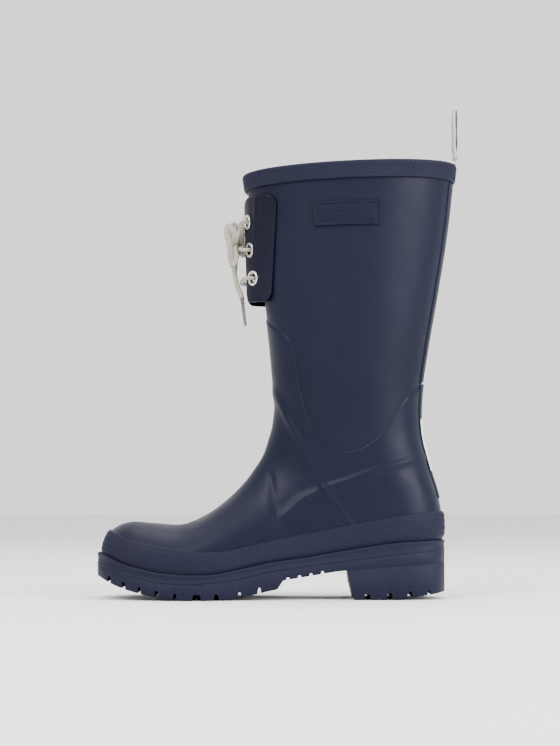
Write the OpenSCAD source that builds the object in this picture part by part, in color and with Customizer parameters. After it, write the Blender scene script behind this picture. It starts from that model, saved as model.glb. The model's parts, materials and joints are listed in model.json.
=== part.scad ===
// Lace-up rubber deck boot, left foot, built up in layers the way a vulcanised boot is.
// The toe points to -X, the outer side of the foot to -Y, and the sole stands on Z = 0.

/* [Boot] */
// Length of the outsole from toe to heel
sole_length = 276; // [268:1:284]
// Height of the rim at the back of the leg
rim_height = 344; // [336:1:352]
// Width of the upper across the ball of the foot
ball_width = 100; // [97:1:103]

/* [Layers] */
// Thickness of the foot's rubber
foot_rubber = 2.6; // [2.4:0.1:2.8]
// Thickness of the leg's rubber
leg_rubber = 2; // [1.8:0.1:2.2]
// Thickness of the textile lining
lining_thick = 1; // [0.8:0.1:1.2]
// Thickness of the foxing band around the foot
foxing_thick = 2; // [1.6:0.1:2.4]
// Thickness of the strips down the back
strip_thick = 1; // [0.8:0.1:1.4]

/* [Sole] */
// How far the sole stands out from the upper
sole_ledge = 4.6; // [4:0.1:5]
// Depth of the gaps between the forefoot lugs
lug_depth = 4.4; // [3:0.2:4.8]
// Number of small lugs under the arch
arch_lugs = 4; // [3:1:5]

/* [Top edge] */
// How far the knurled binding reaches down from the rim
binding_height = 16; // [13:0.5:18]
// How far the binding stands up above the rim
binding_rise = 4; // [1:0.5:5]
// Free length of the pull loop above the rim
loop_height = 38.5; // [30:0.5:48]
// Width of the pull loop's tape
loop_width = 20; // [14:1:24]

/* [Lacing] */
// Outer diameter of an eyelet's flange
eyelet_d = 12; // [11:0.5:13]
// Inner diameter of an eyelet's barrel
eyelet_bore = 7.6; // [7:0.1:8]
// Distance between neighbouring eyelets
eyelet_pitch = 22.5; // [20:0.5:24]
// Diameter of a tube that stands for the laced-up cord
lace_d = 4.6; // [4:0.1:4.6]
// Diameter of an aglet
aglet_d = 2.8; // [2.4:0.1:3.2]

/* [Hidden] */
navy = "#2b3150";
sole_navy = "#232a45";
lace_grey = "#b9b9a8";
kx = sole_length / 276;
kz = rim_height / 344;
ky = ball_width / 100;

// Sections of the upper from the toe to the rim: top or front point (x, z), bottom or back point
// (x, z), half width, sideways shift, where between the two points it is widest, and the
// squareness of its upper and lower halves (2 is an ellipse).
SECTIONS = [
    [-139, 34, -139, 27.5, 11, 5, 0.6, 2, 2],
    [-137, 45, -137, 26, 21, 5, 0.65, 2.1, 2.5],
    [-131, 54.5, -131, 24, 31, 4.5, 0.68, 2.2, 3],
    [-118, 59.5, -118, 20, 41, 4, 0.7, 2.3, 3.5],
    [-99, 58.5, -99, 15, 47.5, 2.5, 0.72, 2.3, 4],
    [-76, 57.8, -76, 12.7, 50, 1.5, 0.72, 2.2, 4],
    [-55, 67, -54, 13.6, 47.5, 0.5, 0.72, 2.1, 4],
    [-38, 80, -20, 19.2, 42, 0, 0.72, 2.1, 3.6],
    [-26, 92.5, 30, 27.6, 36.5, 0, 0.68, 2.1, 4],
    [-18, 103.5, 78, 33.8, 35, 0, 0.62, 2.1, 4.4],
    [-13, 111.5, 110, 37.6, 36, 0, 0.59, 2.1, 4.2],
    [-10, 119, 126, 46, 37, 0, 0.57, 2.1, 3.4],
    [-8, 125.5, 128.4, 62, 37.5, 0, 0.55, 2.1, 2.8],
    [-5.5, 134, 125.5, 81, 38, 0, 0.53, 2.1, 2.5],
    [-4.3, 143, 119.5, 102, 38.5, 0, 0.51, 2.1, 2.3],
    [-3.5, 155, 113, 130, 40, 0, 0.5, 2.1, 2.2],
    [-5, 172, 113, 160, 42.5, 0, 0.5, 2.1, 2.1],
    [-8, 204, 118.5, 198, 45, 0, 0.5, 2.1, 2.1],
    [-12.5, 240, 126, 240, 47.5, 0, 0.5, 2.1, 2.1],
    [-20, 288, 134.5, 292, 49.5, 0, 0.5, 2.1, 2.1],
    [-27.5, 336, 140.5, 344, 50.5, 0, 0.5, 2.1, 2.1]];
last = len(SECTIONS) - 1;
// The upper edge of the foot's thicker rubber, as [angle around the section, section].
FOOT_EDGE = [[0, 17.6], [33, 17.2], [46, 17], [51, 16.2], [54, 14.6], [63, 13.3], [75, 13.1],
    [90, 13.7], [104, 14.3], [118, 14.9], [137, 15.9], [159, 16.2], [180, 16.3]];
// Heights along the boot of the foxing's top, the foxing's bottom, the welt's bottom and the tread.
FOXING_TOP = [[-134, 54.5], [-121, 47.5], [-94, 41], [-64, 36.7], [-43, 37.5], [-4, 46.5],
    [17, 50.6], [56, 58.5], [90, 65], [109, 68], [129, 69]];
FOXING_FOOT = [[-142, 36.5], [-131, 32], [-121, 27], [-94, 21], [-71, 19], [-49, 19.6],
    [-27, 24.4], [-4, 29.4], [17, 31.8], [53, 38.2], [90, 43.8], [129, 46]];
WELT_FOOT = [[-144, 28.2], [-126, 21.4], [-110, 17], [-94, 13.3], [-71, 11.9], [-43, 14],
    [-27, 17], [-4, 22.6], [17, 25.2], [53, 30], [90, 35], [129, 38.2]];
TREAD = [[-144, 20.5], [-140, 17], [-129, 11.8], [-118, 8], [-102, 4], [-88, 1.6], [-75, 0],
    [-52, 0], [-30, 2], [-2, 8.6]];
COLUMNS = 40;
FOOT_ROWS = 22;
LEG_ROWS = 9;
EDGE_STEPS = 34;
// Depths of the layers, measured outward from the skin.
foot_proud = 0.4;
leg_proud = -0.2;
lining_out = foot_proud - foot_rubber;
lining_in = lining_out - lining_thick;
patch_out = lining_out + 1;
board_out = lining_in - 0.1;
board_thick = 2;
insole_out = board_out - board_thick - 0.1;
insole_thick = 4.5;
// Angles around the section, in steps of the grid: the strips down the back, and the insole.
BACK_COLUMNS = [18:22];
SOLE_COLUMNS = [15:25];
SOLE_ROWS = [3:15];
stay_start = 12.85;
// Along the boot: where the arch lugs begin and where the heel's front face is.
arch_start = -1;
heel_breast = 52;
heel_pocket = [48, 36, 16];
pocket_start = 68;
fit_gap = 0.1;
upper_gap = 0.4;
// Lug gaps along the forefoot and along the heel, as [front, back].
TOE_GAPS = [[-133.5, -131], [-122, -119], [-109, -106.5], [-96, -92.5], [-81.5, -78.5], [-67, -60],
    [-50.5, -46], [-33, -29], [-17, -14]];
HEEL_GAPS = [[65.5, 71], [83, 88], [99, 103.5], [115, 118]];
HEEL_TREAD = [[58.5, 0], [79, 0], [96, 1.2], [118, 4], [140, 8]];
// The badge on the outer side of the leg: its angles and its sections.
BADGE_ANGLES = [67.6, 106];
BADGE_SECTIONS = [19.02, 19.36];
// The lace flaps: the height of their middle, where their rear and front edges are at that height
// and how they lean with height, how far apart the front edges are from the middle plane, and how
// far a flap turns between its edges.
flap_z = 275.5;
flap_thick = 2;
flap_low = 41.5;
flap_high = 42;
FLAP_REAR = [-4, 0.05];
FLAP_FRONT = [-26.3, -0.0275];
flap_apart = 8.5;
flap_curl = 62;
flap_root = 0.2;
flap_lean = 3.5;
EYELET_SHARES = [0.634, 0.737, 0.808];
badge_thick = 2.2;
badge_depth = 0.9;
mm_per_section = 50;
mm_per_degree = 1.33;

function mix(a, b, t) = a + (b - a) * t;
function spline(a, b, c, d, t) = 0.5 * (2 * b + (c - a) * t
    + (2 * a - 5 * b + 4 * c - d) * t * t + (3 * b - a - 3 * c + d) * t * t * t);
function section(u) = let (i = min(max(floor(u), 0), last - 1))
    spline(SECTIONS[max(i - 1, 0)], SECTIONS[i], SECTIONS[i + 1], SECTIONS[min(i + 2, last)], u - i);
// A point of the upper's surface: u runs from toe to rim, f around the section from its front.
function skin(u, f) = let (
    s = section(u),
    front = cos(f) >= 0,
    n = front ? s[7] : s[8],
    reach = front ? s[6] : 1 - s[6],
    r = pow(pow(abs(sin(f)), n) + pow(abs(cos(f)), n), -1 / n),
    q = s[6] - reach * r * cos(f))
    [kx * mix(s[0], s[2], q), ky * (s[5] - s[4] * r * sin(f)), kz * mix(s[1], s[3], q)];
// The same point moved off the surface by d, outward when d is positive.
function layer(u, f, d) = let (
    along = skin(u + 0.03, f) - skin(u - 0.03, f),
    around = skin(u, f + 1) - skin(u, f - 1),
    n = cross(around, along))
    skin(u, f) + n * d / norm(n);
function fold(f) = f > 180 ? 360 - f : f;
function foot_edge(f) = lookup(fold(f), FOOT_EDGE);
function column(j) = j * 360 / COLUMNS;
// Rows 0 to FOOT_ROWS climb from the toe to the foot's edge, the rest from there to the rim.
function row_u(i, f) = i <= FOOT_ROWS ? foot_edge(f) * i / FOOT_ROWS
    : mix(foot_edge(f), last, (i - FOOT_ROWS) / LEG_ROWS);

function flatten(a) = [for (r = a) for (p = r) p];
function quad(a, b, c, d) = [[a, c, b], [a, d, c]];

// A closed solid between two equal grids of points, outer and inner. A wrapped grid joins its
// last column to its first, and a capped one closes its first row over the toe.
module plate(outer, inner, wrap = false, cap = false) {
    rows = len(outer);
    cols = len(outer[0]);
    n = rows * cols;
    ends = cap ? [for (g = [outer, inner]) (g[0][0] + g[0][floor(cols / 2)]) / 2] : [];
    spans = wrap ? cols : cols - 1;
    function at(i, j) = i * cols + j % cols;
    faces = concat(
        [for (i = [0:rows - 2]) for (j = [0:spans - 1])
            each quad(at(i, j), at(i, j + 1), at(i + 1, j + 1), at(i + 1, j))],
        [for (i = [0:rows - 2]) for (j = [0:spans - 1])
            each quad(n + at(i, j), n + at(i + 1, j), n + at(i + 1, j + 1), n + at(i, j + 1))],
        [for (j = [0:spans - 1])
            each quad(at(rows - 1, j), at(rows - 1, j + 1), n + at(rows - 1, j + 1), n + at(rows - 1, j))],
        [for (j = [0:spans - 1]) each cap
            ? [[at(0, j), at(0, j + 1), 2 * n], [n + at(0, j + 1), n + at(0, j), 2 * n + 1]]
            : quad(at(0, j + 1), at(0, j), n + at(0, j), n + at(0, j + 1))],
        wrap ? [] : [for (i = [0:rows - 2]) each concat(
            quad(at(i, 0), at(i + 1, 0), n + at(i + 1, 0), n + at(i, 0)),
            quad(at(i + 1, cols - 1), at(i, cols - 1), n + at(i, cols - 1), n + at(i + 1, cols - 1)))]);
    polyhedron(concat(flatten(outer), flatten(inner), ends), faces);
}

// A solid swept through rings of points; closed joins the last ring to the first.
module sweep(rings, closed = false) {
    sides = len(rings[0]);
    n = len(rings);
    function at(i, j) = (i % n) * sides + j % sides;
    faces = concat(
        [for (i = [0:closed ? n - 1 : n - 2]) for (j = [0:sides - 1])
            each quad(at(i, j), at(i, j + 1), at(i + 1, j + 1), at(i + 1, j))],
        closed ? [] : [[for (j = [0:sides - 1]) at(0, j)], [for (j = [sides - 1:-1:0]) at(n - 1, j)]]);
    polyhedron(flatten(rings), faces);
}

// Part of the skin's grid as a plate of rubber or cloth between two depths.
module skin_plate(rows, columns, outer, inner, wrap = false, cap = false) {
    plate([for (i = rows) [for (j = columns) layer(row_u(i, column(j)), column(j), outer)]],
        [for (i = rows) [for (j = columns) layer(row_u(i, column(j)), column(j), inner)]], wrap, cap);
}

// Where a line of heights along the boot runs on the skin: from the section whose front point
// lies on it, round the outer side to the section whose back point does.
function above(line, u, back) = let (s = section(u), k = back ? 2 : 0)
    s[k + 1] - lookup(s[k], line);
function solve(line, back, a, b, n = 14) = let (m = (a + b) / 2)
    n == 0 ? m : above(line, m, back) > 0 ? solve(line, back, a, m, n - 1)
    : solve(line, back, m, b, n - 1);
function settle(line, s, q, n = 8) = n == 0 ? q
    : settle(line, s, (s[1] - lookup(mix(s[0], s[2], q), line)) / (s[1] - s[3]), n - 1);
function line_angle(line, u) = let (
    s = section(u),
    q = min(max(settle(line, s, 0.8), 0), 1),
    front = q < s[6],
    n = front ? s[7] : s[8],
    c = (s[6] - q) / (front ? s[6] : 1 - s[6]))
    atan2(pow(max(1 - pow(abs(c), n), 0), 1 / n), c);
function edge_line(line) = let (
    start = solve(line, false, 0, 3),
    end = solve(line, true, 9, 14),
    side = [for (k = [1:EDGE_STEPS - 1]) let (u = mix(start, end, (1 - cos(180 * k / EDGE_STEPS)) / 2))
        [u, line_angle(line, u)]])
    concat([[start, 0]], side, [[end, 180]],
        [for (k = [EDGE_STEPS - 2:-1:0]) [side[k][0], 360 - side[k][1]]]);
function edge_ring(line, d) = [for (p = edge_line(line)) layer(p[0], p[1], d)];
function mix_lines(a, b, t) = [for (x = [-140:10:130]) [x, mix(lookup(x, a), lookup(x, b), t)]];
function plan(ring) = [for (p = ring) [p[0], p[1]]];
function grow(p, d) = [for (i = [0:len(p) - 1]) let (
    run = p[(i + 1) % len(p)] - p[(i + len(p) - 1) % len(p)])
    p[i] + d * [run[1], -run[0]] / norm(run)];
SOLE_PLAN = grow(plan(edge_ring(FOXING_FOOT, foot_proud)), sole_ledge);
UPPER_PLAN = grow(plan(edge_ring(FOXING_FOOT, foot_proud)), upper_gap);

// A slab seen from the side, cut from straight lines, given its footprint by the sole's outline.
module side_cut(outline) {
    rotate([90, 0, 0]) translate([0, 0, -80]) linear_extrude(160) polygon(outline);
}
function curve(line, a, b, dz = 0) = [for (x = [a:(b - a) / 30:b]) [kx * x, kz * lookup(x, line) + dz]];
function back_curve(line, a, b, dz = 0) = let (c = curve(line, a, b, dz))
    [for (i = [len(c) - 1:-1:0]) c[i]];

module outsole() {
    color(sole_navy) difference() {
        intersection() {
            linear_extrude(60) polygon(SOLE_PLAN);
            side_cut(concat(curve(WELT_FOOT, -150, 140, -0.1), [[140 * kx, 30], [heel_breast + 2, 23],
                [heel_breast - 8, 22], [arch_start + 4, 15], [arch_start, 9]],
                back_curve(TREAD, -150, -2)));
        }
        for (g = TOE_GAPS) {
            floor_z = lookup(g[0], TREAD);
            translate([g[0], -80, floor_z - 10]) cube([g[1] - g[0], 160, 10 + lug_depth]);
        }
        for (i = [0:arch_lugs - 1]) {
            step = (heel_breast - 16) / arch_lugs;
            translate([5 + i * step, -80, 6 + 1.6 * i]) cube([step * 0.4, 160, 11.4]);
        }
        shank_shape(fit_gap);
    }
}

// The shank's side shape, let into the top of the sole; grow opens its pocket.
module shank_shape(grow = 0) {
    intersection() {
        translate([-30 - grow, -8 - grow, 0]) cube([110 + 2 * grow, 16 + 2 * grow, 60]);
        side_cut(concat(curve(WELT_FOOT, -40, 90, grow > 0 ? 1 : -1.4),
            back_curve(WELT_FOOT, -40, 90, -2.9 - grow)));
    }
}
module shank() {
    color("silver") shank_shape();
}

module heel_block() {
    color(sole_navy) difference() {
        intersection() {
            linear_extrude(60) polygon(SOLE_PLAN);
            side_cut(concat([[heel_breast + 2.1, 22.9], [heel_breast + 3.5, 12]], HEEL_TREAD, [[140, 29.9]]));
        }
        for (g = HEEL_GAPS) {
            translate([g[0], -80, -10]) cube([g[1] - g[0], 160, 14 + 0.06 * (g[0] - 60)]);
        }
        translate([pocket_start, -heel_pocket[1] / 2, 9]) cube([heel_pocket[0], heel_pocket[1], 40]);
    }
}
module heel_core() {
    color("#8c8f99") intersection() {
        translate([pocket_start + fit_gap, fit_gap - heel_pocket[1] / 2, 9 + fit_gap])
            cube([heel_pocket[0] - 2 * fit_gap, heel_pocket[1] - 2 * fit_gap, heel_pocket[2]]);
        side_cut([[60, 5], [125, 5], [125, 28.2], [60, 23.2]]);
    }
}

module welt_strip() {
    color(navy) intersection() {
        linear_extrude(60) difference() {
            polygon(SOLE_PLAN);
            polygon(UPPER_PLAN);
        }
        side_cut(concat(curve(FOXING_FOOT, -150, 140, -0.2), back_curve(WELT_FOOT, -150, 140)));
    }
}
module foxing_band() {
    lines = [for (t = [0, 0.33, 0.67, 1]) mix_lines(FOXING_FOOT, FOXING_TOP, t)];
    inner = foot_proud + 0.15;
    color(navy) plate([for (l = lines) edge_ring(l, inner + foxing_thick)],
        [for (l = lines) edge_ring(l, inner)], wrap = true);
}

ALL_COLUMNS = [0:COLUMNS - 1];
ALL_ROWS = [0:FOOT_ROWS + LEG_ROWS];
module foot_upper() {
    color(navy) plate(
        [for (i = [0:FOOT_ROWS]) [for (j = ALL_COLUMNS) layer(row_u(i, column(j)), column(j), foot_proud)]],
        [for (i = [0:FOOT_ROWS]) [for (j = ALL_COLUMNS) layer(row_u(i, column(j)), column(j),
            in_patch(i, j) ? patch_out : lining_out)]], wrap = true, cap = true);
}
// Grid points that lie on the toe puff or on the heel counter.
function in_patch(i, j) = puff(i, j) || counter(i, j);
function puff(i, j) = i >= 3 && i <= 6 && (j <= 10 || j >= 30);
function counter(i, j) = i >= 17 && i <= 20 && j >= 12 && j <= 28;
module toe_puff() {
    color("#c9c2ae") skin_plate([3:6], [30:50], patch_out, lining_out);
}
module heel_counter() {
    color("#c9c2ae") skin_plate([17:20], [12:28], patch_out, lining_out);
}
module leg_shaft() {
    color(navy) skin_plate([FOOT_ROWS:FOOT_ROWS + LEG_ROWS], ALL_COLUMNS, leg_proud, lining_out, wrap = true);
}
module lining() {
    color("#a9adb5") skin_plate(ALL_ROWS, ALL_COLUMNS, lining_out, lining_in, wrap = true, cap = true);
}
module insole_board() {
    color("#b59b74") skin_plate(SOLE_ROWS, SOLE_COLUMNS, board_out, board_out - board_thick);
}
module insole() {
    color("#6f7683") skin_plate(SOLE_ROWS, SOLE_COLUMNS, insole_out, insole_out - insole_thick);
}

// Height below the rim turned into a section number, near the rim.
function below_rim(h) = last - h / 50;
module top_binding() {
    outer = leg_proud + 2.2;
    top = -binding_rise;
    shape = [[0, leg_proud], [0, lining_in], [12, lining_in], [12, lining_in - 1.4],
        [top + 1.4, lining_in - 1.4], [top, lining_in - 1], [top - 0.6, -1.2], [top, outer - 1],
        [top + 2, outer + 0.2], [binding_height, outer], [binding_height, leg_proud]];
    color(sole_navy) sweep([for (j = ALL_COLUMNS) [for (p = shape)
        layer(below_rim(p[0]), column(j), p[1])]], closed = true);
}
strip_top = below_rim(binding_height + 0.3);
module back_stay() {
    rows = [0:LEG_ROWS];
    function point(i, j, d) = let (f = column(j))
        layer(mix(foot_edge(f) + 0.02, strip_top, i / LEG_ROWS), f, d);
    color(navy) plate([for (i = rows) [for (j = BACK_COLUMNS) point(i, j, leg_proud + strip_thick)]],
        [for (i = rows) [for (j = BACK_COLUMNS) point(i, j, leg_proud + 0.02)]]);
}
function stay_point(i, n, j, d) = let (f = column(j))
    layer(mix(stay_start, foot_edge(f), i / n), f, d);
module heel_stay() {
    color(navy) plate(
        [for (i = [0:8]) [for (j = BACK_COLUMNS) stay_point(i, 8, j, foot_proud + strip_thick)]],
        [for (i = [0:8]) [for (j = BACK_COLUMNS) stay_point(i, 8, j, foot_proud + 0.05)]]);
}
module heel_reflector() {
    under = foot_proud + strip_thick + 0.02;
    function point(i, f, d) = layer(mix(13.9, 15.4, i / 5), f, d);
    angles = [164, 172, 180, 188, 196];
    color("#c9ccd0") plate([for (i = [0:5]) [for (f = angles) point(i, f, under + 0.5)]],
        [for (i = [0:5]) [for (f = angles) point(i, f, under)]]);
}

// A patch of the leg between two angles and two sections, drawn in by inset millimetres.
function leg_patch(d, inset = 0) = let (
    da = inset / mm_per_degree,
    du = inset / mm_per_section)
    [for (i = [0:2]) [for (j = [0:10]) layer(
        mix(BADGE_SECTIONS[0] + du, BADGE_SECTIONS[1] - du, i / 2),
        mix(BADGE_ANGLES[0] + da, BADGE_ANGLES[1] - da, j / 10), leg_proud + d)]];
// The badge: a plate that follows the leg, with a raised border round a plain sunk field.
module badge() {
    color(navy) difference() {
        plate(leg_patch(badge_thick), leg_patch(0.05));
        plate(leg_patch(badge_thick + 1, 1.6), leg_patch(badge_thick - badge_depth, 1.6));
    }
}

// The lace flaps are mirror images. Seen from above each is an arc: its rear edge is bonded to the
// leg and it curls forward to a free front edge. share runs from the rear edge (0) to the front (1),
// y is the height from the middle eyelet.
function line_z(u, x) = let (s = section(u)) mix(s[1], s[3], (x - s[0]) / (s[2] - s[0]));
function find_u(x, z, a = 16, b = last, n = 16) = let (m = (a + b) / 2)
    n == 0 ? m : line_z(m, x) > z ? find_u(x, z, a, m, n - 1) : find_u(x, z, m, b, n - 1);
function leg_half(x, z) = let (
    s = section(find_u(x, z)),
    c = 1 - (x - s[0]) / (s[2] - s[0]) / s[6])
    s[4] * pow(1 - pow(abs(c), s[7]), 1 / s[7]);
// [x, distance from the middle plane, height, way the face turns forward] on the middle surface.
function flap_arc(share, y) = let (
    z = flap_z + y,
    x0 = FLAP_REAR[0] + FLAP_REAR[1] * y,
    x1 = FLAP_FRONT[0] + FLAP_FRONT[1] * y,
    y0 = leg_half(x0, z) + flap_thick / 2,
    chord = norm([x1 - x0, y0 - flap_apart]),
    start = atan2(y0 - flap_apart, x0 - x1) - flap_curl / 2,
    r = chord / 2 / sin(flap_curl / 2),
    turn = start + flap_curl * share)
    [x0 - r * (sin(turn) - sin(start)), y0 - r * (cos(start) - cos(turn)), z, turn];
function flap_spot(share, y, d) = let (a = flap_arc(share, y))
    [a[0] - d * sin(a[3]), -a[1] - d * cos(a[3]), a[2]];
// The inner face lies on the leg along the root and leaves it there.
function flap_inside(share, y) = let (a = flap_arc(share, y)) share > flap_root
    ? flap_spot(share, y, -flap_thick / 2) : [a[0], 0.1 - leg_half(a[0], a[2]), a[2]];
function corner(e, r) = e >= r ? 0 : r - sqrt(r * r - (r - e) * (r - e));
function flap_edge(share) = corner(min(share, 1 - share) * 34, 9);
FLAP_SHARES = [0, 0.04, 0.1, 0.2, 0.21, 0.35, 0.5, 0.65, 0.78, 0.88, 0.95, 1];
function flap_heights(share) = let (e = flap_edge(share))
    [for (i = [0:7]) mix(e - flap_low, flap_high - e, i / 7)];
module at_eyelets() {
    for (k = [-1:1]) {
        a = flap_arc(EYELET_SHARES[k + 1], k * eyelet_pitch);
        translate([a[0], -a[1], a[2]]) rotate([0, 0, -a[3]]) rotate([90 + flap_lean, 0, 0]) children();
    }
}
module flap() {
    difference() {
        plate([for (i = [0:7]) [for (f = FLAP_SHARES) flap_spot(f, flap_heights(f)[i], flap_thick / 2)]],
            [for (i = [0:7]) [for (f = FLAP_SHARES) flap_inside(f, flap_heights(f)[i])]]);
        at_eyelets() cylinder(d = eyelet_bore + 1.2, h = 10, center = true, $fn = 32);
    }
}
module flap_lateral() {
    color(navy) flap();
}
module flap_medial() {
    color(navy) mirror([0, 1, 0]) flap();
}
// Eyelets: a barrel with a rolled flange in front; a washer clenches it behind the panel.
module eyelets() {
    rim = eyelet_bore / 2;
    at_eyelets() rotate_extrude($fn = 48) polygon([[rim, -2.4], [rim + 0.55, -2.4],
        [rim + 0.55, 1.02], [eyelet_d / 2, 1.02], [eyelet_d / 2, 1.5], [eyelet_d / 2 - 0.8, 2.1],
        [rim + 0.3, 2.1], [rim, 1.5]]);
}
module washers() {
    at_eyelets() translate([0, 0, -1.9]) difference() {
        cylinder(d = eyelet_d - 1, h = 0.65, $fn = 48);
        translate([0, 0, -1]) cylinder(d = eyelet_bore + 1.15, h = 3, $fn = 48);
    }
}
module eyelets_lateral() {
    color("silver") eyelets();
}
module eyelets_medial() {
    color("silver") mirror([0, 1, 0]) eyelets();
}
module eyelet_washers_lateral() {
    color("silver") washers();
}
module eyelet_washers_medial() {
    color("silver") mirror([0, 1, 0]) washers();
}

// Routes of the cord. The laced stretch runs from the knot through all six eyelets and back.
LACING_ROUTE = [[-30.5, -3.5, 283], [-30, -9, 289.5], [-30.2, -15.5, 296.5], [-28, -17.5, 298.2],
    [-24.8, -15.4, 298], [-21.6, -12.7, 296.5], [-23, -7, 291.5], [-23.4, -1, 286], [-26, 4.5, 281.5],
    [-30.2, 10.5, 277], [-29.8, 17, 275.7], [-26.8, 18.6, 275.5], [-23.1, 16.7, 275.5],
    [-19.3, 14, 273], [-17.6, 14, 266], [-16.8, 14.3, 258], [-17.5, 15, 253.7], [-20.6, 17.6, 253],
    [-23.8, 20.3, 252.8], [-27.6, 18.5, 252.2], [-29.6, 10, 251.5], [-29.6, 0, 251.3],
    [-29.6, -10, 251.5], [-27.6, -18.5, 252.2], [-23.8, -20.3, 252.8], [-20.6, -17.6, 253],
    [-17.5, -15, 253.7], [-16.8, -14.3, 258], [-17.6, -14, 266], [-19.3, -14, 273],
    [-23.1, -16.7, 275.5], [-26.8, -18.6, 275.5], [-29.8, -17, 275.7], [-30.2, -10.5, 277],
    [-30, -4, 279.5], [-28.6, 1.5, 283], [-23.6, 6, 289], [-21.6, 12.7, 296.5], [-24.8, 15.4, 298],
    [-28, 17.5, 298.2], [-30.2, 15.5, 296.5], [-30, 9, 289.5], [-30.5, 3.5, 283]];
LOOP_LATERAL_ROUTE = [[-34.8, -7.4, 282.5], [-34.6, -11.5, 285.5], [-35.4, -13, 289.5],
    [-38.2, -13, 293.4], [-41, -12.8, 294.8], [-42, -12.5, 290.5], [-40.3, -12, 283.5],
    [-39, -12, 276], [-38.4, -12.2, 269.5], [-36.8, -12.6, 265.4], [-34.6, -13, 267.6],
    [-34.4, -12.8, 272], [-35.6, -10.8, 276.3], [-34.8, -7.4, 279.5]];
LOOP_MEDIAL_ROUTE = [[-34.8, 7.4, 283.5], [-35.8, 10, 288], [-35.8, 11.5, 294], [-35.6, 12, 299],
    [-38, 12.2, 299], [-39.4, 12.3, 291.5], [-39.2, 12.5, 282], [-38.8, 12.3, 273], [-37.8, 12, 267],
    [-36, 11.6, 266], [-35.6, 11, 270], [-36, 10, 274.8], [-34.8, 7.4, 278.5]];
TAIL_ROUTE = [[-34, -3.2, 274.3], [-35.2, -4, 268], [-35.8, -5, 261], [-35, -5.8, 253.5],
    [-33.2, -6.2, 247], [-31, -6.5, 242.3], [-29.9, -6.7, 238.5]];
AGLET_TIP = [-27.2, -7, 217.4];
bow_d = 4.4;
tail_d = 4;

function route(p, steps) = [for (i = [0:len(p) - 2]) for (k = [0:steps - 1])
    spline(p[max(i - 1, 0)], p[i], p[i + 1], p[min(i + 2, len(p) - 1)], k / steps),
    p[len(p) - 1]];
function unit(v) = v / norm(v);
function heading(p, i) = unit(p[min(i + 1, len(p) - 1)] - p[max(i - 1, 0)]);
// Sideways directions carried along the route without twisting.
function sides_of(p, v, i = 0) = i == len(p) ? []
    : let (w = unit(v - (v * heading(p, i)) * heading(p, i))) concat([w], sides_of(p, w, i + 1));
module tube(points, d, steps = 2, sides = 8) {
    p = route(points, steps);
    s = sides_of(p, [0.1, 0.2, 1]);
    sweep([for (i = [0:len(p) - 1]) let (t = heading(p, i), b = cross(t, s[i]))
        [for (k = [0:sides - 1]) p[i] + d / 2 * (s[i] * cos(360 * k / sides) + b * sin(360 * k / sides))]]);
}
module lacing() {
    color(lace_grey) tube(LACING_ROUTE, lace_d);
}
module lace_knot() {
    color(lace_grey) hull() {
        for (y = [-2.4, 2.4]) {
            for (z = [-3, 3]) {
                translate([-33.4, y, 281 + z]) sphere(r = 3, $fn = 16);
            }
        }
    }
}
module bow_loop_lateral() {
    color(lace_grey) tube(LOOP_LATERAL_ROUTE, bow_d);
}
module bow_loop_medial() {
    color(lace_grey) tube(LOOP_MEDIAL_ROUTE, bow_d);
}
module lace_tail_lateral() {
    color(lace_grey) tube(TAIL_ROUTE, tail_d);
}
module lace_tail_medial() {
    color(lace_grey) mirror([0, 1, 0]) tube(TAIL_ROUTE, tail_d);
}
module aglet() {
    root = TAIL_ROUTE[len(TAIL_ROUTE) - 1];
    run = AGLET_TIP - root;
    translate(root + 0.3 * unit(run)) rotate([0, acos(run[2] / norm(run)), atan2(run[1], run[0])])
        cylinder(d = aglet_d, h = norm(run), $fn = 24);
}
module aglet_lateral() {
    color("dimgray") aglet();
}
module aglet_medial() {
    color("dimgray") mirror([0, 1, 0]) aglet();
}

// The pull loop is a folded tape on the back of the rim; its root is sewn over the rim inside.
loop_foot = [142, 348.7 + binding_rise];
tape = 1.9;
tape_gap = 1;
module loop_anchor() {
    under = lining_in - 1.5;
    top = -binding_rise - 0.7;
    shape = [[14, under], [top, under], [top, 1.2], [top - 1.1, 1.2], [top - 1.1, under - 1.2],
        [14, under - 1.2]];
    color("lightgray") sweep([for (f = [191.4:-5.7:168.6]) [for (p = shape)
        layer(below_rim(p[0]), f, p[1])]]);
}
module pull_loop() {
    r = tape + tape_gap / 2;
    color("lightgray") translate([loop_foot[0], loop_width / 2, loop_foot[1]]) rotate([90, 0, 0])
        linear_extrude(loop_width) difference() {
            union() {
                circle(d = 4.4, $fn = 32);
                translate([-2.2, 0]) square([4.4, 6]);
                translate([-r, 4]) square([2 * r, loop_height - r - 4]);
                translate([0, loop_height - r]) circle(r = r, $fn = 48);
            }
            translate([-tape_gap / 2, 9]) square([tape_gap, loop_height - r - 9]);
            translate([0, loop_height - r]) circle(d = tape_gap, $fn = 32);
        }
}

outsole();
heel_block();
heel_core();
shank();
welt_strip();
foxing_band();
foot_upper();
leg_shaft();
lining();
heel_counter();
toe_puff();
insole_board();
insole();
top_binding();
back_stay();
heel_stay();
heel_reflector();
badge();
flap_lateral();
flap_medial();
eyelets_lateral();
eyelets_medial();
eyelet_washers_lateral();
eyelet_washers_medial();
lacing();
lace_knot();
bow_loop_lateral();
bow_loop_medial();
lace_tail_lateral();
lace_tail_medial();
aglet_lateral();
aglet_medial();
loop_anchor();
pull_loop();
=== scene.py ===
"""A left rubber deck boot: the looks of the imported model, built in millimetres and made in metres."""
import json
import math
import bpy
import bmesh
import numpy as np
from mathutils import Matrix, Vector

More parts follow.
